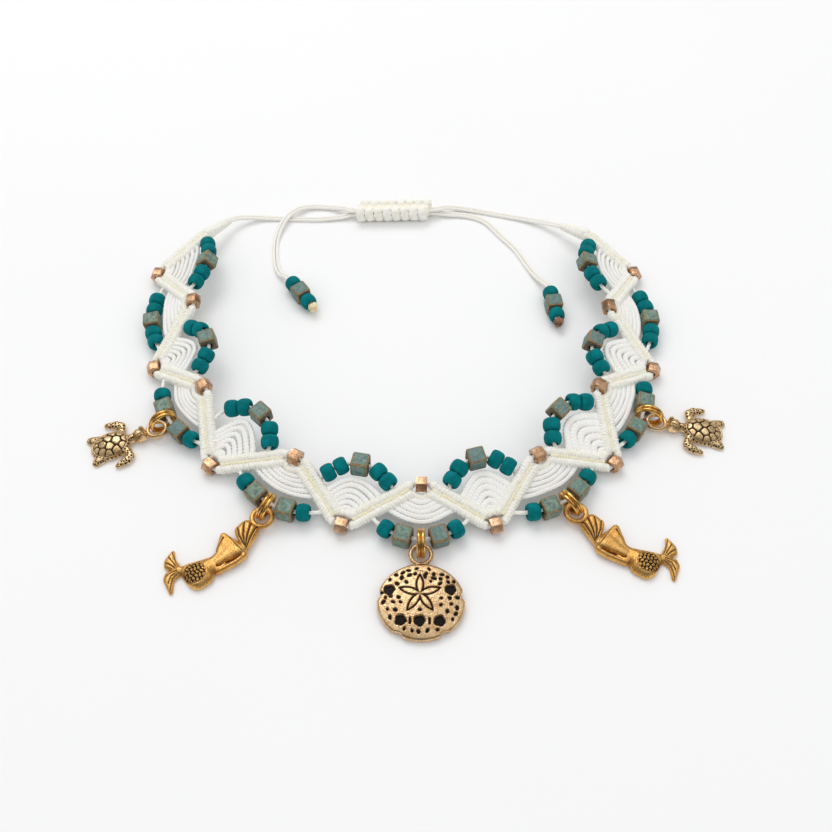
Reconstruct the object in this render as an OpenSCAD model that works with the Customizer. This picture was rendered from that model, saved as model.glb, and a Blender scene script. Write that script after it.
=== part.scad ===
// Macrame anklet with charms, laid open on a flat surface. All sizes are millimetres.
// The wave band stands as a low cone: outer corners on the surface, inner corners raised.

/* [Beads] */
// Diameter of a teal seed bead
teal_d = 3.8; // [3:0.1:5]
// Length of a teal seed bead along its hole
teal_l = 2.75; // [2:0.1:4]
// Diameter of the flat end of a teal seed bead
teal_end_d = 2.5; // [1.8:0.1:3.4]
// Side of a patina cube bead
cube_side = 3.7; // [3:0.1:5]
// Hole through the beads of the band
bead_bore = 1.5; // [1.2:0.05:2]
// Hole through the beads of the tails, for two cords
tail_bore = 1.65; // [1.6:0.05:2]
// Width of a copper bead over its corners
copper_d = 3.5; // [2.5:0.1:4.5]
// Length of a copper bead along its hole
copper_l = 2.3; // [1.6:0.1:3.5]
// Hole through a copper bead
copper_bore = 1.4; // [1:0.05:1.8]
// Gap left between neighbouring beads
bead_gap = 0.12; // [0.1:0.02:0.4]

/* [Band] */
// Diameter of one knotted roll, two rolls lie side by side in a bar
roll_d = 2; // [1.4:0.1:2.6]
// Spacing of the two rolls of a bar
roll_pitch = 1.9; // [1.3:0.1:2.5]
// Distance from a copper bead to the end of a bar
bar_start = 2.15; // [1.8:0.05:3]
// Cords in a fan on the inside of the band, between the copper bead and the bead arc
inner_cords = 6; // [4:1:7]
// Cords in a fan on the outside of the band
outer_cords = 5; // [3:1:6]
// Radius of the smallest cord of a fan
fan_first = 3.9; // [3:0.1:5]
// Space between the largest cord of a fan and the bead thread
fan_to_thread = 3.45; // [2.8:0.05:4]
// Share of the spacing of the fan cords that a cord fills
fan_fill = 0.76; // [0.5:0.02:0.86]
// Height of a fan cord
fan_cord_h = 0.9; // [0.5:0.05:1.3]
// Diameter of the thread that carries the beads and turns through the copper beads
thread_d = 0.8; // [0.5:0.05:1.1]

/* [Drawstring] */
// Diameter of a drawcord
cord_d = 0.75; // [0.5:0.05:1.2]
// Spacing of the two cords of a pair
cord_pitch = 0.8; // [0.8:0.05:1.4]
// Length of the sliding knot
slider_l = 18; // [12:0.5:26]
// Width of the sliding knot
slider_w = 5.2; // [3.6:0.1:6]
// Height of the sliding knot
slider_h = 4.1; // [3.4:0.1:5]
// Wraps of the sliding knot
slider_wraps = 7; // [5:1:9]

/* [Charms] */
// Outside diameter of a jump ring
ring_d = 6; // [5:0.1:8]
// Wire of a jump ring
ring_wire = 0.75; // [0.5:0.05:1]
// Spacing of the two turns of a jump ring
ring_pitch = 0.86; // [0.8:0.02:1.2]
// Hole of a charm loop
loop_bore = 3.3; // [2.6:0.1:4]
// Outside diameter of a charm loop
loop_d = 5; // [4:0.1:6]
// Thickness of a charm loop
loop_t = 1.05; // [0.8:0.05:1.5]
// Width of the sand dollar
dollar_w = 17; // [14:0.5:22]
// Height of the sand dollar
dollar_h = 15.9; // [13:0.1:21]
// Thickness of the sand dollar at its middle
dollar_t = 2.3; // [1.6:0.1:3.5]
// Thickness of the sand dollar at its rim
dollar_rim = 1.2; // [0.8:0.1:2]

/* [Hidden] */
$fn = 48;

// Moves the whole layout so that the middle of its box is the origin.
origin_shift = [1.7, -6.3, 0];

// Corners of the band in order, left end to right end: the copper beads, with the two
// band ends first and last. Odd corners are outer and lie low, even ones are inner.
corners = [
  [-51, 52.3, 5], [-62, 41, 1.8], [-51, 28, 6.7], [-58.6, 11.8, 1.8], [-45.6, 3, 6.7],
  [-43, -14.6, 1.8], [-24.7, -15, 6], [-15, -29, 1.8], [1.1, -21.3, 5.4], [16, -29, 1.8],
  [25, -14.5, 6.2], [41.6, -14, 1.8], [39.3, 3, 6.7], [53, 11.3, 1.8], [44, 26.2, 6.7],
  [52.5, 41.3, 1.8], [41.2, 52.3, 5]];

// One row for each fan: reach of the bead thread along the bar before the corner, at the
// middle and along the bar after it, height of the middle point (0 keeps the fan flat),
// slide of the beads along the thread.
fan_prev = 0;
fan_mid = 1;
fan_next = 2;
fan_z = 3;
fan_slide = 4;
fans = [
  [0, 0, 0, 0, 0],
  [14.8, 13.2, 13.2, 0, -0.1], [13, 11.2, 14.5, 2.1, 0.6], [10, 14.3, 10.4, 0, 0],
  [12.4, 10.4, 13.7, 2.2, 0.8], [8.4, 15.2, 11.3, 0, 1.4], [12.8, 10.9, 13.6, 2.2, -0.4],
  [9.9, 13.3, 12.1, 0, 0.1], [12.2, 11.4, 12, 2.2, 0.1], [10.3, 14.6, 10.3, 0, 0],
  [14.1, 11, 12.5, 2.2, 0.9], [11.3, 16.4, 12.2, 0, 0.2], [14.8, 11.5, 12.7, 2.2, 0.4],
  [11.3, 15.5, 10.2, 0, -0.1], [14, 11.2, 13, 2.1, 0.3], [13.3, 13, 13, 0, 0.9]];
charm_fans = [4, 6, 8, 10, 12];
// Distance of the two cubes beside a jump ring from the ring
ring_room = 3.68;
// Turn of each cube about its hole, first and second cube of the fan
cube_roll = [[0, 0], [40, 0], [8, 0], [8, 0], [8, 10], [6, 0], [10, 4], [-6, 0],
  [6, 9], [6, 0], [10, 6], [24, 0], [6, 10], [20, 0], [5, 0], [26, 0]];

// Jump rings and charms: place of the charm loop, direction in which the charm lies,
// lean of the ring, distance of the ring's middle from the thread, height of the loop.
charm_place = [[-55.6, -4.7], [-31.1, -26.9], [0.95, -35.5], [32.4, -25.8], [51.8, -2.8]];
charm_dir = [202, 217, 270, 329, 349];
ring_lean = [0, -14, 0, 14, 0];
ring_out = 1.45;
loop_z = 1.05;

// Routes of the two cord pairs, from the band end through the sliding knot to the tail.
left_route = [
  [-46.6, 59.3, 2.8], [-44.4, 61, 2], [-40.5, 62.2, 1], [-35.5, 62.5, 0.4],
  [-25, 62.2, 0.4], [-18, 62.9, 0.7], [-14.7, 63.5, 1.2], [3.4, 63.9, 1.2],
  [7.5, 63.8, 0.7], [13, 63.4, 0.4], [17.5, 61.2, 0.4], [20.8, 56.6, 0.4],
  [24.6, 51.2, 0.4], [27.2, 45.6, 0.4], [29.2, 41.4, 0.9], [30.9, 38.5, 1.8],
  [31.6, 36.8, 2], [32.35, 31.4, 2], [33, 26.3, 2]];
right_route = [
  [36.2, 57, 2.8], [34, 58.8, 1.9], [29.5, 61.2, 0.9], [24.4, 63, 0.4],
  [12.8, 65.8, 0.5], [7.4, 65.1, 1.7], [3.4, 63.9, 2.1], [-14.7, 63.5, 2.1],
  [-18, 64.8, 1.6], [-22, 66.4, 0.6], [-27, 66.5, 0.7], [-30.4, 64.6, 1.3],
  [-33.2, 60.8, 1.3], [-34.8, 54.5, 0.4], [-34.3, 47, 0.4], [-32.9, 42.5, 1],
  [-31.4, 40.8, 1.8], [-30.3, 39.5, 2], [-27.3, 35.1, 2], [-24.5, 31, 2]];
slider_mid = [-5.65, 63.7, 2.1];
slider_turn = 1.3;
// Beads of each tail: the place of the cube and the direction of the tail.
left_tail_cube = [-27.3, 35.1, 2];
left_tail_dir = [2.8, -4.1, 0];
right_tail_cube = [32.35, 31.4, 2];
right_tail_dir = [0.65, -5.1, 0];
tail_end_d = 2.3;

// Where the parts of the band stop short of each other: a bar at the end of the band, a
// bead thread and a fan cord inside the bars, the gathered end before its cords.
end_bar_start = 0.4;
thread_trim = 0.6;
fan_cord_trim = 0.9;
gather_gap = 0.35;
// Gathered end: ball over the last bar, cone from it to the cords, drop below the bar.
gather_ball_d = 3.6;
gather_wide_d = 3.2;
gather_narrow_d = 1.9;
gather_drop = [0, 0, -0.2];
// Copper beads sit this far inside the corner point.
copper_in = 0.1;
// Room under the jump rings and charms.
floor_gap = 0.03;

function unit(v) = v / norm(v);
function corner(i) = corners[i];
function toward_prev(i) = unit(corner(i - 1) - corner(i));
function toward_next(i) = unit(corner(i + 1) - corner(i));
function bisector(i) = unit(toward_prev(i) + toward_next(i));
function across(i) = unit(toward_next(i) - toward_prev(i));
function upward(i) = let(c = cross(bisector(i), across(i))) c[2] > 0 ? c : -c;

// Direction of the middle of a fan, turned out of the plane of its bars to end at fan_z.
function dip(i) = fans[i][fan_z] == 0 ? 0 :
  let(b = bisector(i)[2], n = upward(i)[2],
    rise = (fans[i][fan_z] - corner(i)[2]) / fans[i][fan_mid])
  asin(rise / sqrt(b * b + n * n)) - atan2(b, n);
function mid_dir(i) = bisector(i) * cos(dip(i)) + upward(i) * sin(dip(i));

// A circle through two ends and a point between them: centre, radius, direction from the
// centre to the middle of the arc, direction from the first end to the second, half angle.
function arc_of(a, m, b) =
  let(half = norm(b - a) / 2, chord = unit(b - a), w = m - (a + b) / 2, k = w * chord,
    rise = w - chord * k, s = norm(rise), t = (half * half - s * s - k * k) / (2 * s))
  [(a + b) / 2 - unit(rise) * t, sqrt(half * half + t * t), unit(rise), chord,
    atan2(half, t)];
function fan_arc(i, part) = arc_of(
  corner(i) + toward_prev(i) * fans[i][fan_prev] * part,
  corner(i) + mid_dir(i) * fans[i][fan_mid] * part,
  corner(i) + toward_next(i) * fans[i][fan_next] * part);
function thread_arc(i) = fan_arc(i, 1);
function fan_cords(i) = i % 2 == 1 ? inner_cords : outer_cords;
function fan_pitch(i) = (fans[i][fan_mid] - fan_to_thread - fan_first) / (fan_cords(i) - 1);
function cord_part(i, k) = (fan_first + fan_pitch(i) * k) / fans[i][fan_mid];

// Bead places along the thread of a fan, as angles from the middle of the arc. A fan with
// a charm has one teal bead at each side, the others a pair end to end on one line.
function half_cube(r) = atan((cube_side / 2) / (r - cube_side / 2));
function half_teal(r) = atan((teal_l / 2) / (r - teal_end_d / 2));
function half_pair(r) = atan((teal_l + bead_gap / 2) / (r - teal_end_d / 2));
function gap_angle(r) = bead_gap / r * 180 / PI;
function slide_angle(i, r) = fans[i][fan_slide] / r * 180 / PI;
function has_charm(i) = len(search(i, charm_fans)) > 0;
function cube_angles(i) = let(r = thread_arc(i)[1], s = slide_angle(i, r))
  has_charm(i) ? [s - ring_room / r * 180 / PI, s + ring_room / r * 180 / PI] : [s];
function teal_angles(i) =
  let(r = thread_arc(i)[1], c = cube_angles(i), last = len(c) - 1,
    near = half_cube(r) + (has_charm(i) ? half_teal(r) : half_pair(r)) + gap_angle(r))
  [c[0] - near, c[last] + near];

// Sets a child, whose hole runs along X, at an angle on an arc; its Z is kept upward.
module on_arc(arc, angle, length) {
  out = arc[2] * cos(angle) + arc[3] * sin(angle);
  along = arc[3] * cos(angle) - arc[2] * sin(angle);
  side = unit(cross([0, 0, 1], along));
  rise = cross(along, side);
  place = arc[0] + out * (arc[1] - length * length / (16 * arc[1]));
  multmatrix([
    [along[0], side[0], rise[0], place[0]],
    [along[1], side[1], rise[1], place[1]],
    [along[2], side[2], rise[2], place[2]]]) children();
}

// Sweeps a 2D section along an arc, with a little left off at both ends.
module arc_sweep(arc, trim) {
  n = cross(arc[2], arc[3]);
  half = arc[4] - trim / arc[1] * 180 / PI;
  multmatrix([
    [arc[2][0], arc[3][0], n[0], arc[0][0]],
    [arc[2][1], arc[3][1], n[1], arc[0][1]],
    [arc[2][2], arc[3][2], n[2], arc[0][2]]])
    rotate([0, 0, -half]) rotate_extrude(angle = 2 * half) translate([arc[1], 0]) children();
}

// Lays a child, drawn along Z from the origin, from point a toward point b.
module from_to(a, b) {
  d = unit(b - a);
  translate(a) rotate([0, acos(d[2]), atan2(d[1], d[0])]) children();
}

module at_origin() {
  translate(origin_shift) children();
}

// Two rolls of half hitches side by side, from corner i to corner i + 1.
module knotted_bar(i) {
  d = toward_next(i);
  last = len(corners) - 1;
  flat = unit((i > 0 ? upward(i) : upward(1)) + (i + 1 < last ? upward(i + 1) : upward(i)));
  side = unit(cross(d, flat));
  start = corner(i) + d * (i == 0 ? end_bar_start : bar_start);
  stop = corner(i + 1) - d * (i + 1 == last ? end_bar_start : bar_start);
  for (s = [-1, 1])
    from_to(start + side * s * roll_pitch / 2, stop + side * s * roll_pitch / 2)
      cylinder(d = roll_d, h = norm(stop - start));
}

// The cord that turns from one bar to the next through the copper bead.
module leader(i) {
  reach = bar_start + 0.7;
  outer = roll_pitch / 2;
  up = upward(i);
  side_a = unit(cross(toward_prev(i), up));
  side_b = unit(cross(toward_next(i), up));
  out_a = side_a * bisector(i) < 0 ? side_a : -side_a;
  out_b = side_b * bisector(i) < 0 ? side_b : -side_b;
  arc_sweep(arc_of(corner(i) + toward_prev(i) * reach + out_a * outer, corner(i),
    corner(i) + toward_next(i) * reach + out_b * outer), 0) circle(d = thread_d, $fn = 24);
}

// Gathered end of the band, from which a pair of drawcords leaves.
module band_end(i, route) {
  start = corner(i) + gather_drop;
  from_to(start, route[0]) {
    cylinder(d1 = gather_wide_d, d2 = gather_narrow_d, h = norm(route[0] - start) - gather_gap);
    sphere(d = gather_ball_d);
  }
}

module macrame_band() color("ivory") at_origin() {
  for (i = [0:len(corners) - 2]) knotted_bar(i);
  for (i = [1:len(corners) - 2]) {
    leader(i);
    arc_sweep(thread_arc(i), thread_trim) circle(d = thread_d, $fn = 24);
    for (k = [0:fan_cords(i) - 1])
      arc_sweep(fan_arc(i, cord_part(i, k)), fan_cord_trim)
        square([fan_pitch(i) * fan_fill, fan_cord_h], center = true);
  }
  band_end(0, left_route);
  band_end(len(corners) - 1, right_route);
}

module teal_bead(bore) {
  end_r = teal_end_d / 2;
  top_r = teal_d / 2;
  shift = (top_r * top_r - end_r * end_r - teal_l * teal_l / 4) / (2 * (top_r - end_r));
  rotate([0, 90, 0]) rotate_extrude() intersection() {
    translate([shift, 0]) circle(r = top_r - shift);
    translate([bore / 2, -teal_l / 2]) square([top_r, teal_l]);
  }
}

module cube_bead(bore) {
  difference() {
    intersection() {
      cube(cube_side, center = true);
      sphere(r = cube_side * 0.795);
    }
    rotate([0, 90, 0]) cylinder(d = bore, h = cube_side + 1, center = true, $fn = 32);
  }
}

module copper_bead(i) {
  along = across(i);
  side = unit(cross([0, 0, 1], along));
  rise = cross(along, side);
  place = corner(i) + bisector(i) * copper_in;
  multmatrix([
    [along[0], side[0], rise[0], place[0]],
    [along[1], side[1], rise[1], place[1]],
    [along[2], side[2], rise[2], place[2]]])
    rotate([0, 90, 0]) difference() {
      cylinder(d = copper_d, h = copper_l, center = true, $fn = 6);
      cylinder(d = copper_bore, h = copper_l + 1, center = true, $fn = 32);
    }
}

module copper_beads_outer() color("peru") at_origin() for (i = [1:2:15]) copper_bead(i);
module copper_beads_inner() color("peru") at_origin() for (i = [2:2:14]) copper_bead(i);

module teal_beads(i) color("teal") at_origin() for (a = teal_angles(i))
  if (has_charm(i)) on_arc(thread_arc(i), a, teal_l) teal_bead(bead_bore);
  else on_arc(thread_arc(i), a, 2 * teal_l + bead_gap) for (s = [-1, 1])
    translate([s * (teal_l + bead_gap) / 2, 0, 0]) teal_bead(bead_bore);

module fan_cube(i, k) color("darkseagreen") at_origin()
  on_arc(thread_arc(i), cube_angles(i)[k], cube_side)
    rotate([cube_roll[i][k], 0, 0]) cube_bead(bead_bore);

// The point on a thread that carries the jump ring of charm c.
function ring_point(c) = let(i = charm_fans[c], arc = thread_arc(i),
    a = slide_angle(i, arc[1]))
  arc[0] + (arc[2] * cos(a) + arc[3] * sin(a)) * arc[1];

module jump_ring(c) color("goldenrod") at_origin() {
  p = ring_point(c);
  to_loop = charm_place[c] - [p[0], p[1]];
  lift = (ring_d - ring_wire) / 2 * cos(ring_lean[c]) + ring_wire / 2 + 0.02
    + ring_pitch / 2 * abs(sin(ring_lean[c]));
  translate([p[0], p[1], 0]) rotate([0, 0, atan2(to_loop[1], to_loop[0])])
    translate([ring_out, 0, lift])
    rotate([90 + ring_lean[c], 0, 0]) for (s = [-1, 1])
      translate([0, 0, s * ring_pitch / 2]) rotate_extrude()
        translate([(ring_d - ring_wire) / 2, 0]) circle(d = ring_wire, $fn = 24);
}

// Sets a charm, drawn with its loop at the origin and its body toward -Y, at its ring,
// tilted so that its far end comes down on the surface.
module charm_at(c, length) {
  translate([charm_place[c][0], charm_place[c][1], loop_z + floor_gap])
    rotate([0, 0, charm_dir[c] + 90]) rotate([asin(loop_z / length), 0, 0]) children();
}

module charm_loop() {
  difference() {
    cylinder(d = loop_d, h = loop_t);
    translate([0, 0, -1]) cylinder(d = loop_bore, h = loop_t + 2);
  }
}

// Sand dollar: domed disc with notched rim, star of grooved petals, large and small pits.
dollar_mid = -10.1;
dome_r = (dollar_h * dollar_h / 4 + pow(dollar_t - dollar_rim, 2))
  / (2 * (dollar_t - dollar_rim));
function dome_z(x, y) = sqrt(dome_r * dome_r - x * x - y * y) - (dome_r - dollar_t);
petal_r = 3;
petal_off = 2.28;
petal_mid = 2.45;
groove_w = 0.28;
big_pits = [[-3.7, -4.1], [0, -4.7], [3.7, -4.2], [-5.9, 1.5], [5.9, 1.5]];
small_pits = [
  [-0.8, 6.2], [1.8, 6], [-2.9, 5.9], [-4.3, 4.8], [4.3, 5.1], [5.4, 4.1], [6.6, 3.1],
  [-3.4, 4.2], [-2.5, 3], [2.2, 3], [4, 2.9], [2.8, 4.6], [-5.7, 3.5], [-4.4, 2.7],
  [-3.9, -0.4], [3.9, -0.8], [5.5, -0.6], [7, -0.6], [-6.4, -0.6], [-7, -1.9],
  [-3.4, -1.7], [-4.9, -1.6], [4, -2.3], [5.6, -2], [6.9, -2.8], [5, -3.4], [-6, -3.2],
  [-4.6, -3.1], [6.2, -4.4], [-5.3, -4.9], [-2.9, -6.2], [-1.3, -6.9], [0, -7],
  [1.5, -6.9], [3.1, -6.4], [-1.9, -4.7], [1.9, -4.7]];

module petal(r) {
  intersection() {
    translate([petal_off, petal_mid]) circle(r = r);
    translate([-petal_off, petal_mid]) circle(r = r);
  }
}

module sand_dollar_charm() color("goldenrod") at_origin() charm_at(2, 18) {
  charm_loop();
  translate([0, dollar_mid, 0]) difference() {
    intersection() {
      linear_extrude(dollar_t + 1) scale([dollar_w / dollar_h, 1]) circle(d = dollar_h, $fn = 96);
      translate([0, 0, dollar_t - dome_r]) sphere(r = dome_r, $fn = 128);
    }
    for (p = [[-4.6, -7.2], [4.8, -7.1], [8.6, 1.2], [-8.7, 1.4]])
      translate([p[0], p[1], -1]) cylinder(r = 0.75, h = dollar_t + 2);
    for (k = [0:4]) rotate([0, 0, k * 72]) translate([0, 0, dollar_t - 0.5])
      linear_extrude(2) difference() {
        petal(petal_r);
        petal(petal_r - groove_w);
      }
    for (p = big_pits) translate([p[0], p[1], dome_z(p[0], p[1]) - 0.7])
      cylinder(d = 1.9, h = 3, $fn = 32);
    for (p = small_pits) translate([p[0], p[1], dome_z(p[0], p[1]) - 0.35])
      cylinder(d = 0.62, h = 3, $fn = 16);
  }
}

// Flattened ball used to shape the cast charms; only its upper half is kept.
module blob(p, rx, ry, h, sides = 16) {
  translate([p[0], p[1], 0]) scale([rx, ry, h]) sphere(r = 1, $fn = sides);
}

module above_floor() {
  intersection() {
    children();
    translate([-15, -30, 0]) cube([30, 40, 10]);
  }
}

module rib(a, b, r, z) {
  hull() {
    translate([a[0], a[1], z]) sphere(r = r, $fn = 8);
    translate([b[0], b[1], z * 0.8]) sphere(r = r * 0.7, $fn = 8);
  }
}

// Mermaid seen from behind: hair lobe, shoulders, waist, hip scales, two flukes.
module mermaid() {
  charm_loop();
  scale(1.05) above_floor() {
    hull() {
      blob([0.1, -3.9], 2, 1.9, 1.9);
      blob([4.2, -6.5], 0.7, 0.8, 1.5);
    }
    hull() {
      blob([-1, -8.3], 0.8, 0.8, 1.5);
      blob([4.4, -7.2], 0.9, 0.9, 1.6);
      blob([2.5, -12.6], 1.5, 1.4, 1.5);
    }
    hull() {
      blob([2.5, -12.8], 1.7, 1.4, 1.5);
      blob([2.9, -15.8], 2.7, 2.6, 2.1);
      blob([0.5, -18.4], 1.1, 1.1, 1.2);
    }
    hull() {
      blob([0.2, -18.9], 0.8, 0.8, 1.2);
      blob([-3, -19.3], 1.1, 1.2, 1);
    }
    hull() {
      blob([-3, -19.3], 1.1, 1.2, 1);
      blob([-4.7, -17.7], 0.35, 0.35, 0.8);
    }
    hull() {
      blob([0.2, -18.9], 0.8, 0.8, 1.2);
      blob([0.3, -21.8], 1.2, 1.1, 1);
    }
    hull() {
      blob([0.3, -21.8], 1.2, 1.1, 1);
      blob([3, -22.5], 0.35, 0.35, 0.8);
    }
    rib([5, -7.3], [5.1, -9.6], 0.7, 0.9);
    rib([5.1, -9.6], [4.4, -12.4], 0.65, 0.8);
    rib([-1.2, -8.3], [0.8, -13.2], 0.5, 1.2);
    for (k = [-1:2]) rib([0.1 + k * 0.75, -2.6 - k * 0.1], [3.3 + k * 0.25, -6.1], 0.3, 1.7);
    for (p = [[1.8, -15.3], [3, -15], [4.1, -15.4], [2.3, -16.3], [3.5, -16.3], [1.5, -17],
        [2.8, -17.3]])
      blob(p, 0.5, 0.5, 2.35, 8);
  }
}

module mermaid_charm_left() color("goldenrod") at_origin() charm_at(1, 23.6) mermaid();
module mermaid_charm_right() color("goldenrod") at_origin() charm_at(3, 23.6)
  mirror([1, 0, 0]) mermaid();

// Sea turtle: head, shell with raised plates, swept front flippers, short rear flippers.
scutes = [
  [0, -6.6], [-1.5, -7.4], [1.5, -7.4], [0, -8.5], [-2.3, -9], [2.3, -9], [-0.9, -10.2],
  [0.9, -10.2], [-2.2, -10.9], [2.2, -10.9], [0, -11.7], [-1.3, -12.5], [1.3, -12.5]];

module turtle() {
  charm_loop();
  above_floor() {
    hull() {
      blob([0, -3.3], 1.7, 1.5, 2);
      blob([0, -4.3], 1.2, 1.4, 1.7);
    }
    hull() {
      blob([0, -4.4], 1, 1, 1.3);
      blob([0, -6.6], 1.2, 1, 1.4);
    }
    hull() {
      blob([0, -8.6], 3.2, 2.9, 2);
      blob([0, -12.6], 2.1, 2, 1.5);
    }
    for (s = [-1, 1]) {
      hull() {
        blob([s * 2.2, -7.2], 1.2, 1, 1.1);
        blob([s * 4.6, -7.2], 1, 0.9, 1);
      }
      hull() {
        blob([s * 4.6, -7.2], 1, 0.9, 1);
        blob([s * 5.4, -10.3], 0.7, 0.8, 0.9);
      }
      hull() {
        blob([s * 1.6, -13], 1, 1, 1.2);
        blob([s * 2.4, -15.2], 0.8, 0.7, 0.9);
      }
    }
    for (p = scutes)
      blob(p, 0.72, 0.72, 2.35 - abs(p[0]) * 0.22 - max(0, -9 - p[1]) * 0.1, 10);
  }
}

module turtle_charm_left() color("goldenrod") at_origin() charm_at(0, 15.9) turtle();
module turtle_charm_right() color("goldenrod") at_origin() charm_at(4, 15.9) turtle();

// Tube of eight sides along a route, beside it by a side step.
function along_at(route, k) = unit(
  route[min(k + 1, len(route) - 1)] - route[max(k - 1, 0)]);
function side_at(route, k) = unit(cross([0, 0, 1], along_at(route, k)));
function tube_ring(route, k, step, r) =
  let(s = side_at(route, k), u = cross(along_at(route, k), s))
  [for (j = [0:7]) route[k] + s * step + (s * cos(j * 45) + u * sin(j * 45)) * r];

module tube(route, step) {
  n = len(route);
  points = [for (k = [0:n - 1]) each tube_ring(route, k, step, cord_d / 2)];
  walls = [for (k = [0:n - 2]) for (j = [0:7])
    [k * 8 + j, (k + 1) * 8 + j, (k + 1) * 8 + (j + 1) % 8, k * 8 + (j + 1) % 8]];
  near = [for (j = [0:7]) j];
  far = [for (j = [7:-1:0]) (n - 1) * 8 + j];
  polyhedron(points, concat(walls, [near, far]), convexity = 8);
}

module drawcord_left_a() color("ivory") at_origin() tube(left_route, cord_pitch / 2);
module drawcord_left_b() color("ivory") at_origin() tube(left_route, -cord_pitch / 2);
module drawcord_right_a() color("ivory") at_origin() tube(right_route, cord_pitch / 2);
module drawcord_right_b() color("ivory") at_origin() tube(right_route, -cord_pitch / 2);

module slider_section(w, h) {
  intersection() {
    square([w, h], center = true);
    circle(d = w * 1.06);
  }
}

// Sliding knot: wraps side by side round the four cords, on a slightly smaller core.
module sliding_knot() color("ivory") at_origin() translate(slider_mid)
  rotate([0, 0, slider_turn]) rotate([90, 0, 90]) difference() {
    pitch = slider_l / slider_wraps;
    union() {
      linear_extrude(slider_l - 0.6, center = true)
        slider_section(slider_w - 0.7, slider_h - 0.7);
      for (k = [0:slider_wraps - 1])
        translate([0, 0, (k - (slider_wraps - 1) / 2) * pitch])
          linear_extrude(pitch - 0.7, center = true) slider_section(slider_w, slider_h);
    }
    translate([0, -0.45, 0]) cube([1.8, 1.95, slider_l + 2], center = true);
  }

// A bead of a tail, a step along the tail from its cube.
module on_tail(mid, dir, step) {
  d = unit(dir);
  translate(mid + d * step) rotate([0, 0, atan2(d[1], d[0])]) children();
}
tail_step = (cube_side + teal_l) / 2 + 0.2;

module tail_teal(mid, dir) {
  for (s = [-1, 1]) on_tail(mid, dir, s * tail_step) teal_bead(tail_bore);
}

// Melted end of a tail, a ball with a flat face toward the cords.
module tail_end(stop, dir) {
  on_tail(stop, dir, 0.05) intersection() {
    translate([tail_end_d * 0.35, 0, 0]) sphere(d = tail_end_d);
    translate([0, -3, -3]) cube(6);
  }
}

module tail_teal_left() color("teal") at_origin() tail_teal(left_tail_cube, left_tail_dir);
module tail_teal_right() color("teal") at_origin() tail_teal(right_tail_cube, right_tail_dir);
module tail_cube_left() color("darkseagreen") at_origin()
  on_tail(left_tail_cube, left_tail_dir, 0) rotate([4, 0, 0]) cube_bead(tail_bore);
module tail_cube_right() color("darkseagreen") at_origin()
  on_tail(right_tail_cube, right_tail_dir, 0) rotate([-3, 0, 0]) cube_bead(tail_bore);
module tail_end_left() color("khaki") at_origin()
  tail_end(right_route[len(right_route) - 1], left_tail_dir);
module tail_end_right() color("sienna") at_origin()
  tail_end(left_route[len(left_route) - 1], right_tail_dir);

macrame_band();
copper_beads_outer();
copper_beads_inner();
teal_beads(1);  // teal_beads_1
teal_beads(2);  // teal_beads_2
teal_beads(3);  // teal_beads_3
teal_beads(4);  // teal_beads_4
teal_beads(5);  // teal_beads_5
teal_beads(6);  // teal_beads_6
teal_beads(7);  // teal_beads_7
teal_beads(8);  // teal_beads_8
teal_beads(9);  // teal_beads_9
teal_beads(10);  // teal_beads_10
teal_beads(11);  // teal_beads_11
teal_beads(12);  // teal_beads_12
teal_beads(13);  // teal_beads_13
teal_beads(14);  // teal_beads_14
teal_beads(15);  // teal_beads_15
fan_cube(1, 0);  // cube_bead_1
fan_cube(2, 0);  // cube_bead_2
fan_cube(3, 0);  // cube_bead_3
fan_cube(4, 0);  // cube_bead_4a
fan_cube(4, 1);  // cube_bead_4b
fan_cube(5, 0);  // cube_bead_5
fan_cube(6, 0);  // cube_bead_6a
fan_cube(6, 1);  // cube_bead_6b
fan_cube(7, 0);  // cube_bead_7
fan_cube(8, 0);  // cube_bead_8a
fan_cube(8, 1);  // cube_bead_8b
fan_cube(9, 0);  // cube_bead_9
fan_cube(10, 0);  // cube_bead_10a
fan_cube(10, 1);  // cube_bead_10b
fan_cube(11, 0);  // cube_bead_11
fan_cube(12, 0);  // cube_bead_12a
fan_cube(12, 1);  // cube_bead_12b
fan_cube(13, 0);  // cube_bead_13
fan_cube(14, 0);  // cube_bead_14
fan_cube(15, 0);  // cube_bead_15
jump_ring(0);  // jump_ring_turtle_left
jump_ring(1);  // jump_ring_mermaid_left
jump_ring(2);  // jump_ring_sand_dollar
jump_ring(3);  // jump_ring_mermaid_right
jump_ring(4);  // jump_ring_turtle_right
turtle_charm_left();
mermaid_charm_left();
sand_dollar_charm();
mermaid_charm_right();
turtle_charm_right();
drawcord_left_a();
drawcord_left_b();
drawcord_right_a();
drawcord_right_b();
sliding_knot();
tail_teal_left();
tail_cube_left();
tail_end_left();
tail_teal_right();
tail_cube_right();
tail_end_right();
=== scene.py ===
import bpy
import math
import random
import numpy as np
from mathutils import Vector, Matrix


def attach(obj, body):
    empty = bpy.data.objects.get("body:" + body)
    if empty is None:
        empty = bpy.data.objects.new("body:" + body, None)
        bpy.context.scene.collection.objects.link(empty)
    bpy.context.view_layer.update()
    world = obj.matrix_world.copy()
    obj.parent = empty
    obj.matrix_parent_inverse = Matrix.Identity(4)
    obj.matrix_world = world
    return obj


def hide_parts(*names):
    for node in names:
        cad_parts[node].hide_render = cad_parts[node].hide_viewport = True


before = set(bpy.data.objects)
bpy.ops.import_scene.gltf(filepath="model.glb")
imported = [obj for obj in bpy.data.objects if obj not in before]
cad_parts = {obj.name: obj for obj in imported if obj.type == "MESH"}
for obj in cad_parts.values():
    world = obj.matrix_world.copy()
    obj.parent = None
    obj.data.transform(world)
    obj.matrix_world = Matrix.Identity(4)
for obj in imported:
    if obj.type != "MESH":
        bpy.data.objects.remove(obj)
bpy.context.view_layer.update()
bpy.ops.object.select_all(action="DESELECT")
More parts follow.
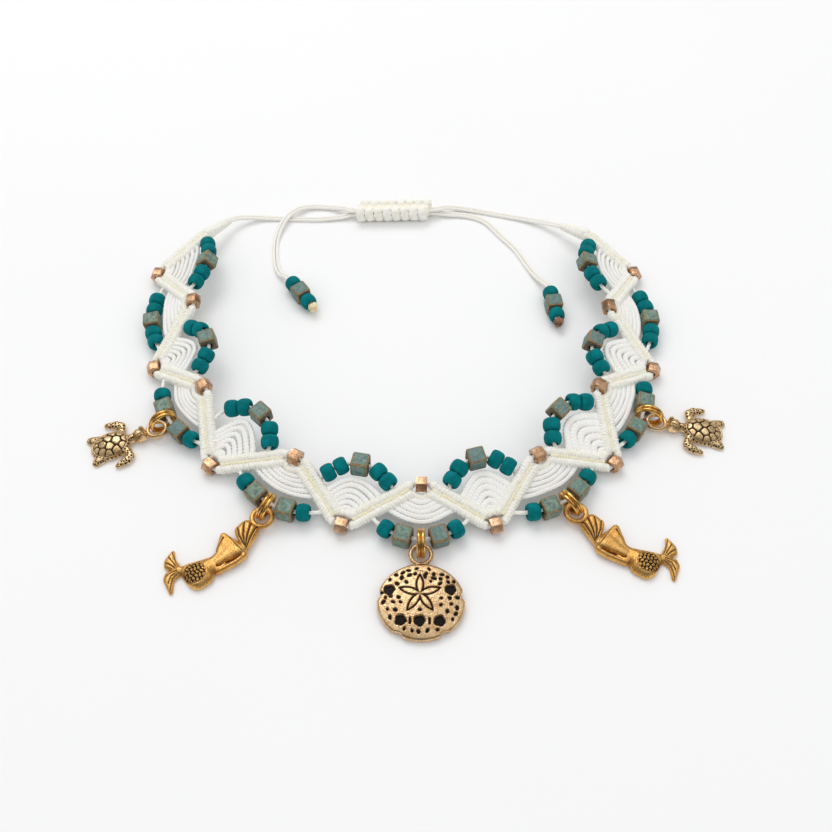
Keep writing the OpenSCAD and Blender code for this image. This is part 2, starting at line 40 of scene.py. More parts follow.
print("anklet: frame loaded,", len(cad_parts), "CAD nodes")

# The photograph's view: steep, from the front of the loop.
view = {"place": (0.0017, -0.1451, 0.1842), "aim": (0.0017, -0.0063, 0.0), "lens": 45.65,
        "sensor": 36, "nearest": 0.01, "farthest": 10}

cameraData = bpy.data.cameras.new("photoCamera")
cameraData.lens = view["lens"]
cameraData.sensor_width = view["sensor"]
cameraData.clip_start, cameraData.clip_end = view["nearest"], view["farthest"]
camera = bpy.data.objects.new("photoCamera", cameraData)
bpy.context.scene.collection.objects.link(camera)
camera.location = view["place"]
lookAlong = Vector(view["aim"]) - Vector(view["place"])
camera.rotation_euler = lookAlong.to_track_quat("-Z", "Y").to_euler()
bpy.context.scene.camera = camera
bpy.context.scene.view_settings.view_transform = "Standard"

# All modelling below is in millimetres of the layout; toFrame brings it to the frame's metres.
layoutShift = np.array([1.7, -6.3, 0.0])


def toFrame(points):
    return (np.asarray(points, float) + layoutShift) * 0.001


def unit(v):
    v = np.asarray(v, float)
    return v / np.linalg.norm(v, axis=-1, keepdims=True)


# Strands: every cord of the anklet is a section carried along a line
def newBundle():
    return {"points": [], "faces": [], "uvs": [], "groove": [], "tint": [], "count": 0}


def addStrand(bundle, centre, lift, across, rise, groove, girth, tint=0.5):
    # lift is the side that faces up; across and rise are the section's offsets at each ring
    along = unit(np.gradient(centre, axis=0))
    side = unit(np.cross(lift, along))
    up = np.cross(along, side)
    points = centre[:, None] + side[:, None] * across[..., None] + up[:, None] * rise[..., None]
    rings, parts = across.shape
    index = bundle["count"] + np.arange(rings * parts).reshape(rings, parts)
    after = np.roll(index, -1, axis=1)
    quads = np.stack([index[:-1], after[:-1], after[1:], index[1:]], -1).reshape(-1, 4)
    steps = np.linalg.norm(np.diff(centre, axis=0), axis=1)
    length = np.concatenate([[0], np.cumsum(steps)])
    u = np.repeat(length[:, None], parts, 1)
    v = np.repeat(np.arange(parts + 1)[None] / parts * girth, rings, 0)
    uv = np.stack([
        np.stack([u[:-1], v[:-1, :-1]], -1), np.stack([u[:-1], v[:-1, 1:]], -1),
        np.stack([u[1:], v[1:, 1:]], -1), np.stack([u[1:], v[1:, :-1]], -1)], 2)
    bundle["points"].append(points.reshape(-1, 3))
    bundle["faces"] += quads.tolist()
    bundle["faces"] += [index[0][::-1].tolist(), index[-1].tolist()]
    bundle["uvs"].append(uv.reshape(-1, 2))
    bundle["uvs"].append(np.stack([u[0], v[0, :-1]], -1)[::-1])
    bundle["uvs"].append(np.stack([u[-1], v[-1, :-1]], -1))
    bundle["groove"].append(np.broadcast_to(groove, across.shape).reshape(-1))
    bundle["tint"].append(np.full(rings * parts, tint))
    bundle["count"] += rings * parts


def addRound(bundle, line, lift, r, groove, girth, tint):
    # a strand whose section has radius r, ring by ring and corner by corner
    angle = around(r.shape[1])
    addStrand(bundle, line, lift, r * np.cos(angle), r * np.sin(angle), groove, girth, tint)


def addValues(mesh, key, values):
    layer = mesh.attributes.new(key, "FLOAT", "POINT")
    layer.data.foreach_set("value", np.asarray(values, np.float32))


def handOver(piece, slot, *nodes):
    # the piece stands for these CAD nodes from here on
    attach(piece, "root")
    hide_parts(*nodes)


def around(parts):
    # the angles of a section's corners
    return np.linspace(0, 2 * math.pi, parts, endpoint=False)[None]


def bundlePiece(name, bundle):
    mesh = bpy.data.meshes.new(name)
    mesh.from_pydata(toFrame(np.concatenate(bundle["points"])).tolist(), [], bundle["faces"])
    layer = mesh.uv_layers.new(name="fibre")
    layer.data.foreach_set("uv", np.concatenate(bundle["uvs"]).astype(np.float32).ravel())
    for key in ("groove", "tint"):
        addValues(mesh, key, np.concatenate(bundle[key]))
    mesh.polygons.foreach_set("use_smooth", [True] * len(mesh.polygons))
    mesh.update()
    piece = bpy.data.objects.new(name, mesh)
    bpy.context.scene.collection.objects.link(piece)
    return piece


def evenly(points, step):
    # the same line with rings a fixed step apart
    points = np.asarray(points, float)
    steps = np.linalg.norm(np.diff(points, axis=0), axis=1)
    length = np.concatenate([[0], np.cumsum(steps)])
    count = max(4, int(round(length[-1] / step)) + 1)
    where = np.linspace(0, length[-1], count)
    return np.stack([np.interp(where, length, points[:, k]) for k in range(3)], -1), where


def smoothLine(points, parts=12):
    # Catmull-Rom through the route's points
    p = np.asarray(points, float)
    p = np.concatenate([[2 * p[0] - p[1]], p, [2 * p[-1] - p[-2]]])
    t = np.linspace(0, 1, parts, endpoint=False)[:, None]
    line = []
    for k in range(1, len(p) - 2):
        a, b, c, d = p[k - 1], p[k], p[k + 1], p[k + 2]
        line.append(0.5 * (2 * b + (c - a) * t + (2 * a - 5 * b + 4 * c - d) * t ** 2
                           + (3 * b - a - 3 * c + d) * t ** 3))
    line.append(p[-2][None])
    return np.concatenate(line)


def roundSection(where, radius, parts, plies, lay, depth):
    # a laid cord: plies turn round the line once every lay millimetres
    angle = around(parts)
    wave = np.cos(plies * angle - 2 * math.pi * where[:, None] / lay)
    r = radius * (1 + depth * wave)
    return r * np.cos(angle), r * np.sin(angle), np.clip(-wave, 0, 1)


# Materials: these calls add to the node tree in hand and give back sockets
inHand = {}


def openTree(tree):
    inHand["tree"] = tree
    return tree.nodes


def newMaterial(name):
    material = bpy.data.materials.new(name)
    material.use_nodes = True
    return material, openTree(material.node_tree)["Principled BSDF"]


def feed(node, values):
    # each value is a number, a colour or another node's socket
    for key, value in values.items():
        if isinstance(value, bpy.types.NodeSocket):
            inHand["tree"].links.new(value, node.inputs[key])
        else:
            node.inputs[key].default_value = value


def addNode(kind, values=None, **settings):
    node = inHand["tree"].nodes.new(kind)
    for key, value in settings.items():
        setattr(node, key, value)
    feed(node, values or {})
    return node


def mixColour(factor, first, second):
    return addNode("ShaderNodeMix", {0: factor, 6: first, 7: second}, data_type="RGBA").outputs[2]


def ramp(source, low, high, lowValue=0.0, highValue=1.0):
    span = {"Value": source, "From Min": low, "From Max": high, "To Min": lowValue, "To Max": highValue}
    return addNode("ShaderNodeMapRange", span, clamp=True).outputs["Result"]


def noiseOn(vector, scale, detail=3.0, stretch=(1, 1, 1)):
    turned = addNode("ShaderNodeMapping", {"Scale": stretch, "Vector": vector}).outputs["Vector"]
    return addNode("ShaderNodeTexNoise", {"Scale": scale, "Detail": detail, "Vector": turned}).outputs["Fac"]


def pairOf(kind, a, b):
    return addNode("ShaderNodeMath", {0: a, 1: b}, operation=kind).outputs[0]


def bumpOn(shader, height, strength, distance):
    bump = addNode("ShaderNodeBump", {"Height": height, "Strength": strength, "Distance": distance})
    feed(shader, {"Normal": bump.outputs["Normal"]})


def carried(name, output="Fac"):
    # a value that the mesh itself carries from point to point
    return addNode("ShaderNodeAttribute", attribute_name=name).outputs[output]


def objectPlace():
    return addNode("ShaderNodeTexCoord").outputs["Object"]


def cordMaterial(name, look):
    material, shader = newMaterial(name)
    along = addNode("ShaderNodeUVMap", uv_map="fibre").outputs["UV"]
    patches = ramp(noiseOn(objectPlace(), look["patches"], 2), 0.35, 0.7)
    tone = mixColour(patches, look["pale"], look["warm"])
    tone = mixColour(ramp(carried("tint"), 0, 1, 0, 0.7), tone, look["warm"])
    # painted shade: the creases between hitches, plies, wraps and braid ticks, and the braid's middle seam,
    # are darkened toward the deep tone
    tone = mixColour(ramp(carried("groove"), 0.35, 1.0, 0, look["creaseShade"]), tone, look["deep"])
    bumpOn(shader, noiseOn(along, look["fibreScale"], 4, look["fibreStretch"]), look["bump"], 0.00012)
    feed(shader, {
        "Base Color": tone, "Roughness": look["roughness"], "Specular IOR Level": look["specular"],
        "Sheen Weight": look["sheen"], "Sheen Roughness": 0.5,
        "Subsurface Weight": 0.12, "Subsurface Radius": (0.0009, 0.0008, 0.0006), "Subsurface Scale": 0.5})
    return material


yarnLook = {
    "fibreScale": 5.0, "fibreStretch": (1, 2.2, 1), "bump": 0.9, "roughness": 0.85, "sheen": 0.25,
    "specular": 0.3, "patches": 320}
# each yarn's deep tone is the colour of the painted shade in its creases; the groove attribute says where it
# falls
bandYarn = cordMaterial("bandYarn", {
    **yarnLook, "creaseShade": 0.55,
    "pale": (0.985, 0.977, 0.94, 1), "warm": (0.97, 0.945, 0.84, 1), "deep": (0.88, 0.81, 0.60, 1)})
coreYarn = cordMaterial("coreYarn", {
    **yarnLook, "creaseShade": 0.5,
    "pale": (0.955, 0.935, 0.83, 1), "warm": (0.92, 0.862, 0.63, 1), "deep": (0.80, 0.715, 0.47, 1)})
fanYarn = cordMaterial("fanYarn", {
    **yarnLook, "creaseShade": 0.5, "fibreScale": 6.0, "fibreStretch": (0.8, 2.4, 1), "bump": 0.7, "roughness": 0.8,
    "pale": (0.965, 0.962, 0.945, 1), "warm": (0.95, 0.935, 0.89, 1), "deep": (0.80, 0.765, 0.68, 1)})
drawYarn = cordMaterial("drawYarn", {
    **yarnLook, "creaseShade": 0.6, "fibreScale": 4.0, "fibreStretch": (0.5, 3, 1), "bump": 0.35, "roughness": 0.5,
    "sheen": 0.1, "specular": 0.5,
    "pale": (0.955, 0.945, 0.915, 1), "warm": (0.93, 0.905, 0.84, 1), "deep": (0.76, 0.71, 0.60, 1)})
knotYarn = cordMaterial("knotYarn", {
    **yarnLook, "creaseShade": 0.6, "fibreScale": 4.0, "fibreStretch": (0.8, 2.2, 1), "bump": 0.7, "roughness": 0.75,
    "pale": (0.99, 0.982, 0.95, 1), "warm": (0.975, 0.955, 0.87, 1), "deep": (0.93, 0.86, 0.66, 1)})

# The drawcords come first: two pairs, each from one end of the band, through the
# sliding knot, to the tail on the other side. Route points repeat the part's source.
drawcord = {
    "diameter": 0.75, "beside": 0.4, "ringStep": 0.22, "plies": 3, "lay": 1.1, "plyDepth": 0.035,
    "left": [
        [-46.6, 59.3, 2.8], [-44.4, 61, 2], [-40.5, 62.2, 1], [-35.5, 62.5, 0.4],
        [-25, 62.2, 0.4], [-18, 62.9, 0.7], [-14.7, 63.5, 1.2], [3.4, 63.9, 1.2],
        [7.5, 63.8, 0.7], [13, 63.4, 0.4], [17.5, 61.2, 0.4], [20.8, 56.6, 0.4],
        [24.6, 51.2, 0.4], [27.2, 45.6, 0.4], [29.2, 41.4, 0.9], [30.9, 38.5, 1.8],
        [31.6, 36.8, 2], [32.35, 31.4, 2], [33, 26.3, 2]],
    "right": [
        [36.2, 57, 2.8], [34, 58.8, 1.9], [29.5, 61.2, 0.9], [24.4, 63, 0.4],
        [12.8, 65.8, 0.5], [7.4, 65.1, 1.7], [3.4, 63.9, 2.1], [-14.7, 63.5, 2.1],
        [-18, 64.8, 1.6], [-22, 66.4, 0.6], [-27, 66.5, 0.7], [-30.4, 64.6, 1.3],
        [-33.2, 60.8, 1.3], [-34.8, 54.5, 0.4], [-34.3, 47, 0.4], [-32.9, 42.5, 1],
        [-31.4, 40.8, 1.8], [-30.3, 39.5, 2], [-27.3, 35.1, 2], [-24.5, 31, 2]]}


def makeDrawcord(name, route, beside):
    route = np.array(route)
    along = unit(np.concatenate([[route[1] - route[0]], route[2:] - route[:-2], [route[-1] - route[-2]]]))
    side = unit(np.cross([0, 0, 1], along))
    line, where = evenly(smoothLine(route + side * beside), drawcord["ringStep"])
    bundle = newBundle()
    across, rise, groove = roundSection(where, drawcord["diameter"] / 2, 10, drawcord["plies"],
                                        drawcord["lay"], drawcord["plyDepth"])
    addStrand(bundle, line, [0, 0, 1.0], across, rise, groove, math.pi * drawcord["diameter"])
    piece = bundlePiece(name, bundle)
    piece.data.materials.append(drawYarn)
    return piece, line, where[-1]


for which in ("left", "right"):
    for letter, beside in (("a", drawcord["beside"]), ("b", -drawcord["beside"])):
        piece, line, length = makeDrawcord("drawcord_%s_%s_laid" % (which, letter), drawcord[which], beside)
        handOver(piece, "drawcord", "drawcord_%s_%s" % (which, letter))

# The layout of the band, from the part's source
corners = np.array([
    [-51, 52.3, 5], [-62, 41, 1.8], [-51, 28, 6.7], [-58.6, 11.8, 1.8], [-45.6, 3, 6.7],
    [-43, -14.6, 1.8], [-24.7, -15, 6], [-15, -29, 1.8], [1.1, -21.3, 5.4], [16, -29, 1.8],
    [25, -14.5, 6.2], [41.6, -14, 1.8], [39.3, 3, 6.7], [53, 11.3, 1.8], [44, 26.2, 6.7],
    [52.5, 41.3, 1.8], [41.2, 52.3, 5]], float)
fans = {   # reach on the bar before, in the middle, on the bar after; height of the middle; slide
    1: [14.8, 13.2, 13.2, 0, -0.1], 2: [13, 11.2, 14.5, 2.1, 0.6], 3: [10, 14.3, 10.4, 0, 0],
    4: [12.4, 10.4, 13.7, 2.2, 0.8], 5: [8.4, 15.2, 11.3, 0, 1.4], 6: [12.8, 10.9, 13.6, 2.2, -0.4],
    7: [9.9, 13.3, 12.1, 0, 0.1], 8: [12.2, 11.4, 12, 2.2, 0.1], 9: [10.3, 14.6, 10.3, 0, 0],
    10: [14.1, 11, 12.5, 2.2, 0.9], 11: [11.3, 16.4, 12.2, 0, 0.2], 12: [14.8, 11.5, 12.7, 2.2, 0.4],
    13: [11.3, 15.5, 10.2, 0, -0.1], 14: [14, 11.2, 13, 2.1, 0.3], 15: [13.3, 13, 13, 0, 0.9]}
charmFans = [4, 6, 8, 10, 12]


def towardPrev(i):
    return unit(corners[i - 1] - corners[i])


def towardNext(i):
    return unit(corners[i + 1] - corners[i])


def bisector(i):
    return unit(towardPrev(i) + towardNext(i))


def acrossCorner(i):
    return unit(towardNext(i) - towardPrev(i))


def upward(i):
    c = np.cross(bisector(i), acrossCorner(i))
    return c if c[2] > 0 else -c


def midDirection(i):
    reach, height = fans[i][1], fans[i][3]
    if height == 0:
        return bisector(i)
    b, n = bisector(i)[2], upward(i)[2]
    dip = math.asin((height - corners[i][2]) / reach / math.hypot(b, n)) - math.atan2(b, n)
    return bisector(i) * math.cos(dip) + upward(i) * math.sin(dip)


def arcThrough(a, m, b):
    half = np.linalg.norm(b - a) / 2
    chord = unit(b - a)
    w = m - (a + b) / 2
    k = w @ chord
    riseBy = w - chord * k
    s = np.linalg.norm(riseBy)
    t = (half * half - s * s - k * k) / (2 * s)
    return {"centre": (a + b) / 2 - unit(riseBy) * t, "radius": math.hypot(half, t),
            "out": unit(riseBy), "chord": chord, "half": math.atan2(half, t)}


def fanArc(i):
    # the line that the fan's beads sit on
    prev, mid, after = fans[i][:3]
    return arcThrough(corners[i] + towardPrev(i) * prev, corners[i] + midDirection(i) * mid,
                      corners[i] + towardNext(i) * after)


def arcLine(arc, trim, step):
    half = arc["half"] - trim / arc["radius"]
    angle = np.linspace(-half, half, max(6, int(2 * half * arc["radius"] / step)))[:, None]
    return arc["centre"] + (arc["out"] * np.cos(angle) + arc["chord"] * np.sin(angle)) * arc["radius"]


# The band: rolls of half hitches, flat braided cords across each fan, bead threads
band = {
    "rollRadius": 1.0, "rollPitch": 1.9, "rollSwell": 1.03, "barStart": 2.15, "endStart": 0.4,
    "wrapPitch": 0.66, "wrapDepth": 0.19, "slant": 0.42, "fuzz": 0.05, "yellowBars": range(4, 12),
    "innerCords": 6, "outerCords": 5, "fanFirst": 3.9, "fanToThread": 3.45, "square": 2.7,
    "endReach": 0.08, "endFlare": 0.2, "outerFill": 1.02, "tickSlant": 0.55, "seamWidth": 0.2,
    "innerFill": {1: 0.66, 3: 0.7, 5: 0.7, 7: 0.92, 9: 0.97, 11: 0.86, 13: 0.76, 15: 0.7},
    "thickness": 0.5, "braidPitch": 0.75, "braidDepth": 0.095,
    "threadRadius": 0.4, "threadLay": 1.3, "coreRadius": 0.42, "coreLay": 1.1, "coreUp": 0.45,
    "cornerFill": 2.8, "turnThin": 0.42, "fillThin": 0.82, "cornerThick": 0.9, "cornerLean": 0.3,
    "rollStep": 0.12, "rollParts": 18, "cordStep": 0.18, "threadStep": 0.16}
rnd = random.Random(5)      # draws the tint of each strand


def waver(where, span, amount, seed):
    # slow seeded wander along a strand
    generator = np.random.default_rng(seed + 10)
    knots = generator.uniform(-1, 1, int(where[-1] / span) + 4)
    return amount * np.interp(where / span, np.arange(len(knots)), knots)[:, None]


def lumps(shape, seed):
    # small uneven bumps, as of fibres standing out of the yarn
    field = np.random.default_rng(seed + 700).normal(size=shape)
    return (2 * field + np.roll(field, 1, 0) + np.roll(field, 1, 1)) / 2.45


def hitches(where, angle, lean, seed):
    # half hitches along a roll: 1 on top of a turn, 0 in the crease between two
    phase = where[:, None] / band["wrapPitch"] + lean * np.cos(angle) + waver(where, 1.4, 0.16, seed)
    return np.abs(np.sin(math.pi * phase)) ** 0.7


def roundedEnd(distance, reach, least):
    # 0 to 1 along a quarter circle, so that a roll closes like a dome
    return np.sqrt(np.clip(1 - (1 - np.clip(distance / reach, 0, 1)) ** 2, least, 1))[:, None]


def addRoll(bundle, start, stop, flat, seed, mirrored):
    line, where = evenly([start, stop], band["rollStep"])
    angle = around(band["rollParts"])
    hump = hitches(where, angle, band["slant"] if mirrored else -band["slant"], seed)
    swell = band["rollSwell"] + waver(where, 0.9, 0.05, seed + 90)
    r = band["rollRadius"] * swell - band["wrapDepth"] * (1 - hump)
    dome = roundedEnd(np.minimum(where, where[-1] - where), 0.7, 0.02)
    r = (r + band["fuzz"] * lumps(r.shape, seed)) * dome
    addRound(bundle, line, flat, r, 1 - hump, 2 * math.pi * band["rollRadius"], 0.35 + 0.4 * rnd.random())


def fanCordLine(i, part):
    prev, mid, after = (x * part for x in fans[i][:3])
    spread = 1 + band["endReach"] * (mid / (fans[i][1] - band["fanToThread"])) ** 2
    prev, after = prev * spread, after * spread
    t = np.linspace(0, math.pi / 2, 81)[:, None]
    power = 2 / band["square"]
    c = corners[i]
    line = c + towardPrev(i) * prev * np.cos(t) ** power + towardNext(i) * after * np.sin(t) ** power
    miss = c + midDirection(i) * mid - line[40]
    return line + miss * np.sin(2 * t) ** 1.4


def addFlatCord(bundle, i, part, half, seed):
    line, where = evenly(fanCordLine(i, part), band["cordStep"])
    keep = (where > 0.3) & (where < where[-1] - 0.3)      # the ends stay inside the rolls
    line, where = line[keep], where[keep]
    angle = around(16)
    x = np.sign(np.cos(angle)) * np.abs(np.cos(angle)) ** 0.85
    z = np.sign(np.sin(angle)) * np.abs(np.sin(angle)) ** 0.75
    flare = 1 + band["endFlare"] * (2 * where[:, None] / where[-1] - 1) ** 2
    width = half * flare * (1 + waver(where, 2.5, 0.07, seed))
    tick = np.cos(2 * math.pi * (where[:, None] / band["braidPitch"] + band["tickSlant"] * np.abs(x)))
    middle = np.exp(-(x / band["seamWidth"]) ** 2)
    relief = band["braidDepth"] * (tick * (0.4 + 0.6 * np.abs(x)) - 0.9 * middle)
    across = width * x * (1 + 0.05 * tick) + waver(where, 3.5, 0.1, seed + 7)
    rise = band["thickness"] * z * (1 - 0.12 * x ** 2) + relief * np.sign(z) + waver(where, 3, 0.06, seed + 3)
    # groove marks the low braid ticks and the middle seam, which get the painted crease shade
    groove = np.clip(0.5 - 0.5 * tick + 0.4 * middle, 0, 1) * 0.8
    addStrand(bundle, line, upward(i), across, rise, groove, 4.4 * half, 0.5 * rnd.random())


def addThread(bundle, line, lift, radius, lay, tint):
    line, where = evenly(line, band["threadStep"])
    across, rise, groove = roundSection(where, radius, 10, 2, lay, 0.09)
    addStrand(bundle, line, lift, across, rise, groove, 2.5, tint)


def turnIn(i, d):
    # beside a bar, toward the inside of its corner
    beside = unit(np.cross(d, upward(i)))
    return beside if beside @ bisector(i) > 0 else -beside


def addCornerCord(bundle, line, lift, thin, seed):
    # the cord that leaves one bar and enters the next: thick like a roll at both ends
    line, where = evenly(line, band["rollStep"])
    angle = around(band["rollParts"])
    hump = hitches(where, angle, band["cornerLean"], seed)
    fromMiddle = np.abs(where / where[-1] * 2 - 1) * where[-1] / 2
    part = np.clip((fromMiddle - 1.25) / 0.8, 0, 1)
    swell = thin + (band["cornerThick"] - thin) * part * part * (3 - 2 * part)
    r = swell[:, None] * (1 - 0.12 * (1 - hump))
    r = r + band["fuzz"] * lumps(r.shape, seed)
    addRound(bundle, line, lift, r, 1 - hump, 5.6, 0.45)


lastCorner = len(corners) - 1
rolls, cornerRolls, coreThreads, fanCords, threads = [newBundle() for _ in range(5)]
for i in range(lastCorner):
    d = towardNext(i)
    flat = unit((upward(i) if i > 0 else upward(1)) + (upward(i + 1) if i + 1 < lastCorner else upward(i)))
    side = unit(np.cross(d, flat))
    start = corners[i] + d * band["endStart" if i == 0 else "barStart"]
    stop = corners[i + 1] - d * band["endStart" if i + 1 == lastCorner else "barStart"]
    for s in (-1, 1):
        offset = side * s * band["rollPitch"] / 2
        addRoll(rolls, start + offset, stop + offset, flat, 10 * i + 2 + s, s > 0)
    # the thread that shows between the two rolls, yellower along the front
    up = flat * band["coreUp"]
    core, where = evenly([start + up + d * 0.4, stop + up - d * 0.4], band["threadStep"])
    core += side * waver(where, 1.1, 0.1, i + 300) + flat * waver(where, 0.7, 0.12, i + 400)
    addThread(coreThreads, core, flat, band["coreRadius"], band["coreLay"],
              1.0 if i in band["yellowBars"] else 0.25)
for i in range(1, lastCorner):
    inner = i % 2 == 1
    count = band["innerCords"] if inner else band["outerCords"]
    pitch = (fans[i][1] - band["fanToThread"] - band["fanFirst"]) / (count - 1)
    half = pitch * (band["innerFill"][i] if inner else band["outerFill"]) / 2
    for k in range(count):
        addFlatCord(fanCords, i, (band["fanFirst"] + pitch * k) / fans[i][1], half, 100 * i + k)
    beadLine = arcLine(fanArc(i), 0.6, band["threadStep"])
    addThread(threads, beadLine, upward(i), band["threadRadius"], band["threadLay"], 0.3)
    # the cord that turns through the copper bead, and the fuller one inside the corner
    bars = [(d, turnIn(i, d) * band["rollPitch"] / 2) for d in (towardPrev(i), towardNext(i))]
    ends = [corners[i] + d * (band["barStart"] + 0.7) - inward for d, inward in bars]
    turning = arcLine(arcThrough(ends[0], corners[i], ends[1]), 0, 0.1)
    addCornerCord(cornerRolls, turning, upward(i), band["turnThin"], i)
    under = [corners[i] + d * (band["barStart"] + 0.55) + inward for d, inward in bars]
    middle = corners[i] + bisector(i) * band["cornerFill"]
    filling = smoothLine([under[0], middle, under[1]], 20)
    addCornerCord(cornerRolls, filling, upward(i), band["fillThin"], i + 40)


# the band's ends: the cords drawn together into the pair that leaves them
gather = {"into": 1.5, "short": 0.35, "wide": 1.6, "taper": 0.65, "parts": 24, "cords": 6, "ridge": 0.05,
          "wrapPitch": 1.15, "wrapDepth": 0.14}


def addGather(bundle, i, route):
    start = corners[i] + [0, 0, -0.2]
    stop = np.array(route[0], float)
    away = unit(stop - start)
    line, where = evenly([start - away * gather["into"], stop - away * gather["short"]], band["rollStep"])
    part = np.clip((where - gather["into"]) / (where[-1] - gather["into"]), 0, 1)
    angle = around(gather["parts"])
    r = (gather["wide"] - gather["taper"] * part)[:, None] * roundedEnd(where, gather["wide"], 0.03)
    wave = np.cos(gather["cords"] * angle - where[:, None] * 0.5)
    wrap = np.abs(np.sin(math.pi * (where[:, None] / gather["wrapPitch"] + 0.2 * np.cos(angle)))) ** 0.7
    r = r * (1 + gather["ridge"] * wave) - gather["wrapDepth"] * (1 - wrap)
    addRound(bundle, line, [0, 0, 1.0], r, 1 - wrap, 9, 0.4)


addGather(cornerRolls, 0, drawcord["left"])
addGather(cornerRolls, lastCorner, drawcord["right"])

# loose fibres standing out of the rolls
hairs = {"perMillimetre": 9, "thick": [[0.03], [0.026], [0.014]], "sides": [[0, 2.09, 4.19]],
         "shortest": 0.15, "longest": 0.45, "bend": 0.3}
fuzz = newBundle()
chance = random.Random(12)
hairAcross = np.array(hairs["thick"]) * np.cos(hairs["sides"])
hairRise = np.array(hairs["thick"]) * np.sin(hairs["sides"])
for i in range(lastCorner):
    d, flat = towardNext(i), upward(min(max(i, 1), lastCorner - 1))
    side = unit(np.cross(d, flat))
    length = np.linalg.norm(corners[i + 1] - corners[i]) - 2 * band["barStart"]
    for _ in range(int(length * hairs["perMillimetre"])):
        s, a = chance.choice((-1, 1)), chance.uniform(-0.7, math.pi + 0.7)
        out = side * math.cos(a) + flat * math.sin(a)
        bend = (d * chance.uniform(-1, 1) + np.cross(out, d) * chance.uniform(-1, 1)) * hairs["bend"]
        reach = chance.uniform(hairs["shortest"], hairs["longest"])
        root = corners[i] + d * (band["barStart"] + chance.uniform(0.3, length - 0.3)) \
            + side * s * band["rollPitch"] / 2
        hair = np.array([root + out * 0.85, root + out * (1 + reach * 0.5) + bend * 0.5,
                         root + out * (1 + reach) + bend * 1.3])
        addStrand(fuzz, hair, np.cross(out, d) + 0.01 * out, hairAcross, hairRise, 0, 0.1, 0.2)
for name, bundle, material in (("band_rolls", rolls, bandYarn), ("band_corner_rolls", cornerRolls, bandYarn),
                               ("band_core_threads", coreThreads, coreYarn), ("band_fuzz", fuzz, bandYarn),
                               ("band_fan_cords", fanCords, fanYarn), ("band_threads", threads, drawYarn)):
    piece = bundlePiece(name, bundle)
    piece.data.materials.append(material)
    handOver(piece, "band_cord", "macrame_band")
    print(name + ":", len(piece.data.polygons), "faces")

# Sliding knot: two rows of loops round the four drawcords
slider = {"middle": [-5.65, 63.7, 2.13], "turn": 1.3, "knots": 8, "pitch": 2.22, "row": 1.42,
          "loopWide": 0.76, "loopHigh": 1.36, "cordWide": 1.1, "cordThick": 0.62, "coreWide": 2.0,
          "loopLean": 0.2, "coreHigh": 1.4, "plies": 3, "lay": 2.1, "plyDepth": 0.07, "ripple": 0.08,
          "unevenness": 0.035}


def makeSlider():
    # the near row stands half a knot behind the far one, and a core fills the middle
    bundle = newBundle()
    turn = math.radians(slider["turn"])
    along = np.array([math.cos(turn), math.sin(turn), 0])
    side = np.array([-math.sin(turn), math.cos(turn), 0])
    middle = np.array(slider["middle"])
    for row in (-1, 1):
        for k in range(slider["knots"]):
            x = (k - (slider["knots"] - 1) / 2 + 0.25 * row) * slider["pitch"]
            a = np.linspace(0.15, 2 * math.pi + 0.15, 49)[:, None]
            y = row * slider["row"] + slider["loopWide"] * np.cos(a)
            z = slider["loopHigh"] * np.sin(a)
            line = middle + along * (x + slider["loopLean"] * row * np.sin(a)) + side * y + [[0, 0, 1.0]] * z
            line, where = evenly(line, 0.16)
            across, rise, groove = roundSection(where, 1.0, 16, slider["plies"], slider["lay"],
                                                slider["plyDepth"])
            ply = 1 + slider["ripple"] * np.sin(4 * math.pi * where / slider["lay"] + 2 * k)[:, None]
            rough, seed = slider["unevenness"], 31 + 20 * k + row
            across = across * slider["cordWide"] * ply + rough * lumps(across.shape, seed)
            rise = rise * slider["cordThick"] * ply + rough * lumps(rise.shape, seed + 200)
            outward = line - (middle + along * x + side * row * slider["row"])
            outward -= (outward @ along)[:, None] * along
            addStrand(bundle, line, unit(outward), across, rise, groove, 6, 0.25 + 0.4 * rnd.random())
    half = slider["knots"] / 2 * slider["pitch"]
    core = evenly([middle - along * half, middle + along * half], 0.5)[0]
    rings = np.ones((len(core), 1))
    # the core is coloured all over with the painted crease shade, as it shows only in the gaps between the
    # loops
    addStrand(bundle, core, [0, 0, 1.0], rings * slider["coreWide"] * np.cos(around(20)),
              rings * slider["coreHigh"] * np.sin(around(20)), np.ones((len(core), 20)), 9, 1.0)
    return bundlePiece("sliding_knot_wraps", bundle)


knot = makeSlider()
knot.data.materials.append(knotYarn)
handOver(knot, "knot_cord", "sliding_knot")
print("sliding knot: wound")


# Mesh steps that the beads, rings and charms share
def pickFaces(piece, test):
    # leaves edit mode's face selection to those whose centre and normal pass the test
    bpy.ops.object.mode_set(mode="OBJECT")
    for face in piece.data.polygons:
        face.select = bool(test(face.center, face.normal))
    for part in (*piece.data.edges, *piece.data.vertices):
        part.select = False
    bpy.ops.object.mode_set(mode="EDIT")
    bpy.ops.mesh.select_mode(type="FACE")


def activeOnly(piece):
    bpy.ops.object.select_all(action="DESELECT")
    piece.select_set(True)
    bpy.context.view_layer.objects.active = piece


def editWhole(piece):
    activeOnly(piece)
    bpy.ops.object.mode_set(mode="EDIT")
    bpy.ops.mesh.select_all(action="SELECT")


def closeEdit():
    bpy.ops.object.mode_set(mode="OBJECT")


def settle():
    # the active piece's place and size go into its mesh
    bpy.ops.object.transform_apply(location=True, rotation=True, scale=True)
    return bpy.context.object


def applyModifier(piece, kind, settings):
    modifier = piece.modifiers.new(kind.title(), kind)
    for key, value in settings.items():
        setattr(modifier, key, value)
    bpy.context.view_layer.objects.active = piece
    bpy.ops.object.modifier_apply(modifier=modifier.name)


def joinParts(parts):
    bpy.ops.object.select_all(action="DESELECT")
    for part in parts:
        part.select_set(True)
    bpy.context.view_layer.objects.active = parts[0]
    if len(parts) > 1:
        bpy.ops.object.join()
    return bpy.context.object


